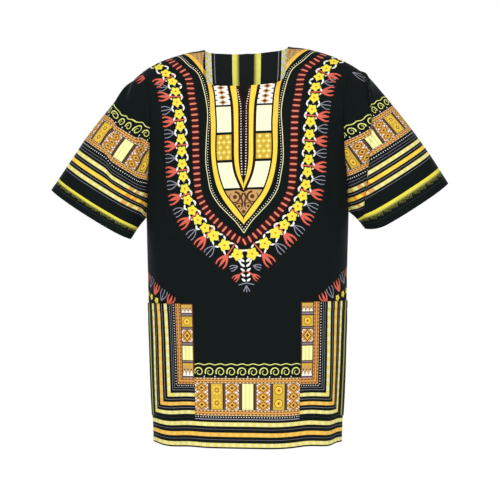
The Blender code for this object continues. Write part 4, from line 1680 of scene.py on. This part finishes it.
def thread_material():
    """Twisted dark sewing thread."""
    material, tree, shader = new_material("dark_thread")
    place = add_node(tree, "TexCoord", {}).outputs["Object"]
    twist = add_node(tree, "TexNoise", {"Scale": 900.0, "Vector": place}).outputs["Fac"]
    tone = add_node(tree, "ValToRGB", {"Fac": twist})
    tone.color_ramp.elements[0].color = (0.010, 0.011, 0.013, 1)
    tone.color_ramp.elements[1].color = (0.050, 0.050, 0.055, 1)
    set_inputs(tree, shader, {"Roughness": 0.6, "Base Color": tone.outputs["Color"]})
    return material


def add_light(name, place, aim, size, power):
    """A square soft lamp that points at its aim."""
    data = bpy.data.lights.new(name, "AREA")
    data.shape, data.size, data.energy = "SQUARE", size, power
    lamp = new_thing(name, data)
    lamp.location = place
    lamp.rotation_euler = (Vector(aim) - Vector(place)).to_track_quat("-Z", "Y").to_euler()


def add_floor():
    """A plain, pale round floor under the hanging shirt."""
    angle = np.arange(FLOOR_SIDES) * 2 * math.pi / FLOOR_SIDES
    rim = np.stack((np.cos(angle), np.sin(angle)), 1) * FLOOR_RADIUS
    mesh = bpy.data.meshes.new("studio_floor")
    mesh.from_pydata([(x, y, FLOOR) for x, y in rim], [], [list(range(FLOOR_SIDES))])
    paper, tree, shader = new_material("floor_paper")
    set_inputs(tree, shader, {"Base Color": (0.94, 0.94, 0.94, 1), "Roughness": 0.9})
    mesh.materials.append(paper)
    new_thing("studio_floor", mesh)


def add_studio():
    """An even white room, and large soft lamps."""
    add_floor()
    scene = bpy.context.scene
    scene.world = scene.world or bpy.data.worlds.new("studio")
    scene.world.use_nodes = True
    tree = scene.world.node_tree
    set_inputs(tree, tree.nodes["Background"], {"Color": (1, 1, 1, 1), "Strength": 1.0})
    for name, row in LAMPS.items():
        add_light(name, *row)
    scene.view_settings.view_transform = "Standard"


def add_camera():
    """The photo's view, straight at the front from four metres."""
    data = bpy.data.cameras.new("front_view")
    data.lens, data.sensor_width = 144.0, 36.0
    camera = new_thing("front_view", data)
    camera.location = (0.007, -4.0, -0.402)
    camera.rotation_euler = (math.pi / 2, 0, 0)
    bpy.context.scene.camera = camera


def finish_piece(thing, node, cloth):
    """A piece takes the place of its solid: it gets the cloth, hangs from the root, and the solid is hidden.
    """
    thing.data.materials.append(cloth)
    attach(thing, "root")
    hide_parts(node)


def add_pocket(name, side, surface, cloth, thread):
    """A pocket on the front, stitched across its mouth, down its inner edge and along its foot."""
    outline = pocket_outline(side)
    thing = make_piece(f"pocket_{name}_cloth", surface, outline, pocket_print(side), pocket_lift)
    inner, outer = side * (POCKET_INNER_EDGE * 1000 + 2), side * (QUARTER * 1000 - 3)
    top, bottom = POCKET_TOP * 1000 - POCKET_TURN + 2, POCKET_BOTTOM * 1000 + 2
    rows = [
        (surface, pocket_lift, np.array(line))
        for line in (
            ((inner, top), (outer, top)),
            ((inner, POCKET_TOP * 1000 - 1), (inner, bottom)),
            ((inner, bottom), (outer, bottom)),
        )
    ]
    threads = make_threads(f"pocket_{name}_stitches", rows, thread)
    finish_piece(thing, f"pocket_{name}", cloth)


def add_panel(face, cloth, thread):
    """The front or back, stitched along its hem and neckline. The front carries the pockets."""
    front = face == "front"
    surface = BodySurface(face, FRONT_CREASES if front else BACK_CREASES)
    outline = panel_outline(surface)
    art = front_print() if front else back_print()
    thing = make_piece(f"{face}_cloth", surface, outline, art, facing=1 if front else -1)
    rows = [
        (surface, panel_lift, moved_in(line, (width - STITCH_INSET) * stitch_side(line, outline)))
        for line, kind, width in surface.edges
        if kind == "hem"
    ]
    threads = make_threads(f"{face}_stitches", rows, thread)
    finish_piece(thing, face, cloth)
    if front:
        for name, side in SIDES:
            add_pocket(name, side, surface, cloth, thread)


def stitch_side(line, outline):
    """Which side of an edge the cloth lies on: 1 to its left, -1 to its right."""
    path = Path(line, 3)
    probe = path.at(np.array((path.length * 0.5,)), 3.0)
    return 1 if inside(outline, probe)[0] else -1


def add_sleeve(name, side, cloth, thread):
    """A sleeve, stitched round its cuff."""
    surface = SleeveSurface(side, SLEEVE_CREASES[name], SLEEVE_KINKS[name])
    outline = sleeve_outline(surface)
    surface.edges = sleeve_edges(surface)
    art = sleeve_print(surface)
    thing = make_piece(f"sleeve_{name}_cloth", surface, outline, art, facing=-side)
    half = surface.half_round * 1000 - 2
    row = np.array(((-half, CUFF_TURN - STITCH_INSET), (half, CUFF_TURN - STITCH_INSET)))
    threads = make_threads(f"sleeve_{name}_stitches", [(surface, panel_lift, row)], thread)
    finish_piece(thing, f"sleeve_{name}", cloth)


def main():
    """The pieces, then the studio and the camera."""
    cloth, thread = cotton("printed_cotton"), thread_material()
    for face in ("front", "back"):
        add_panel(face, cloth, thread)
    for name, side in SIDES:
        add_sleeve(name, side, cloth, thread)
    add_studio()
    add_camera()


main()
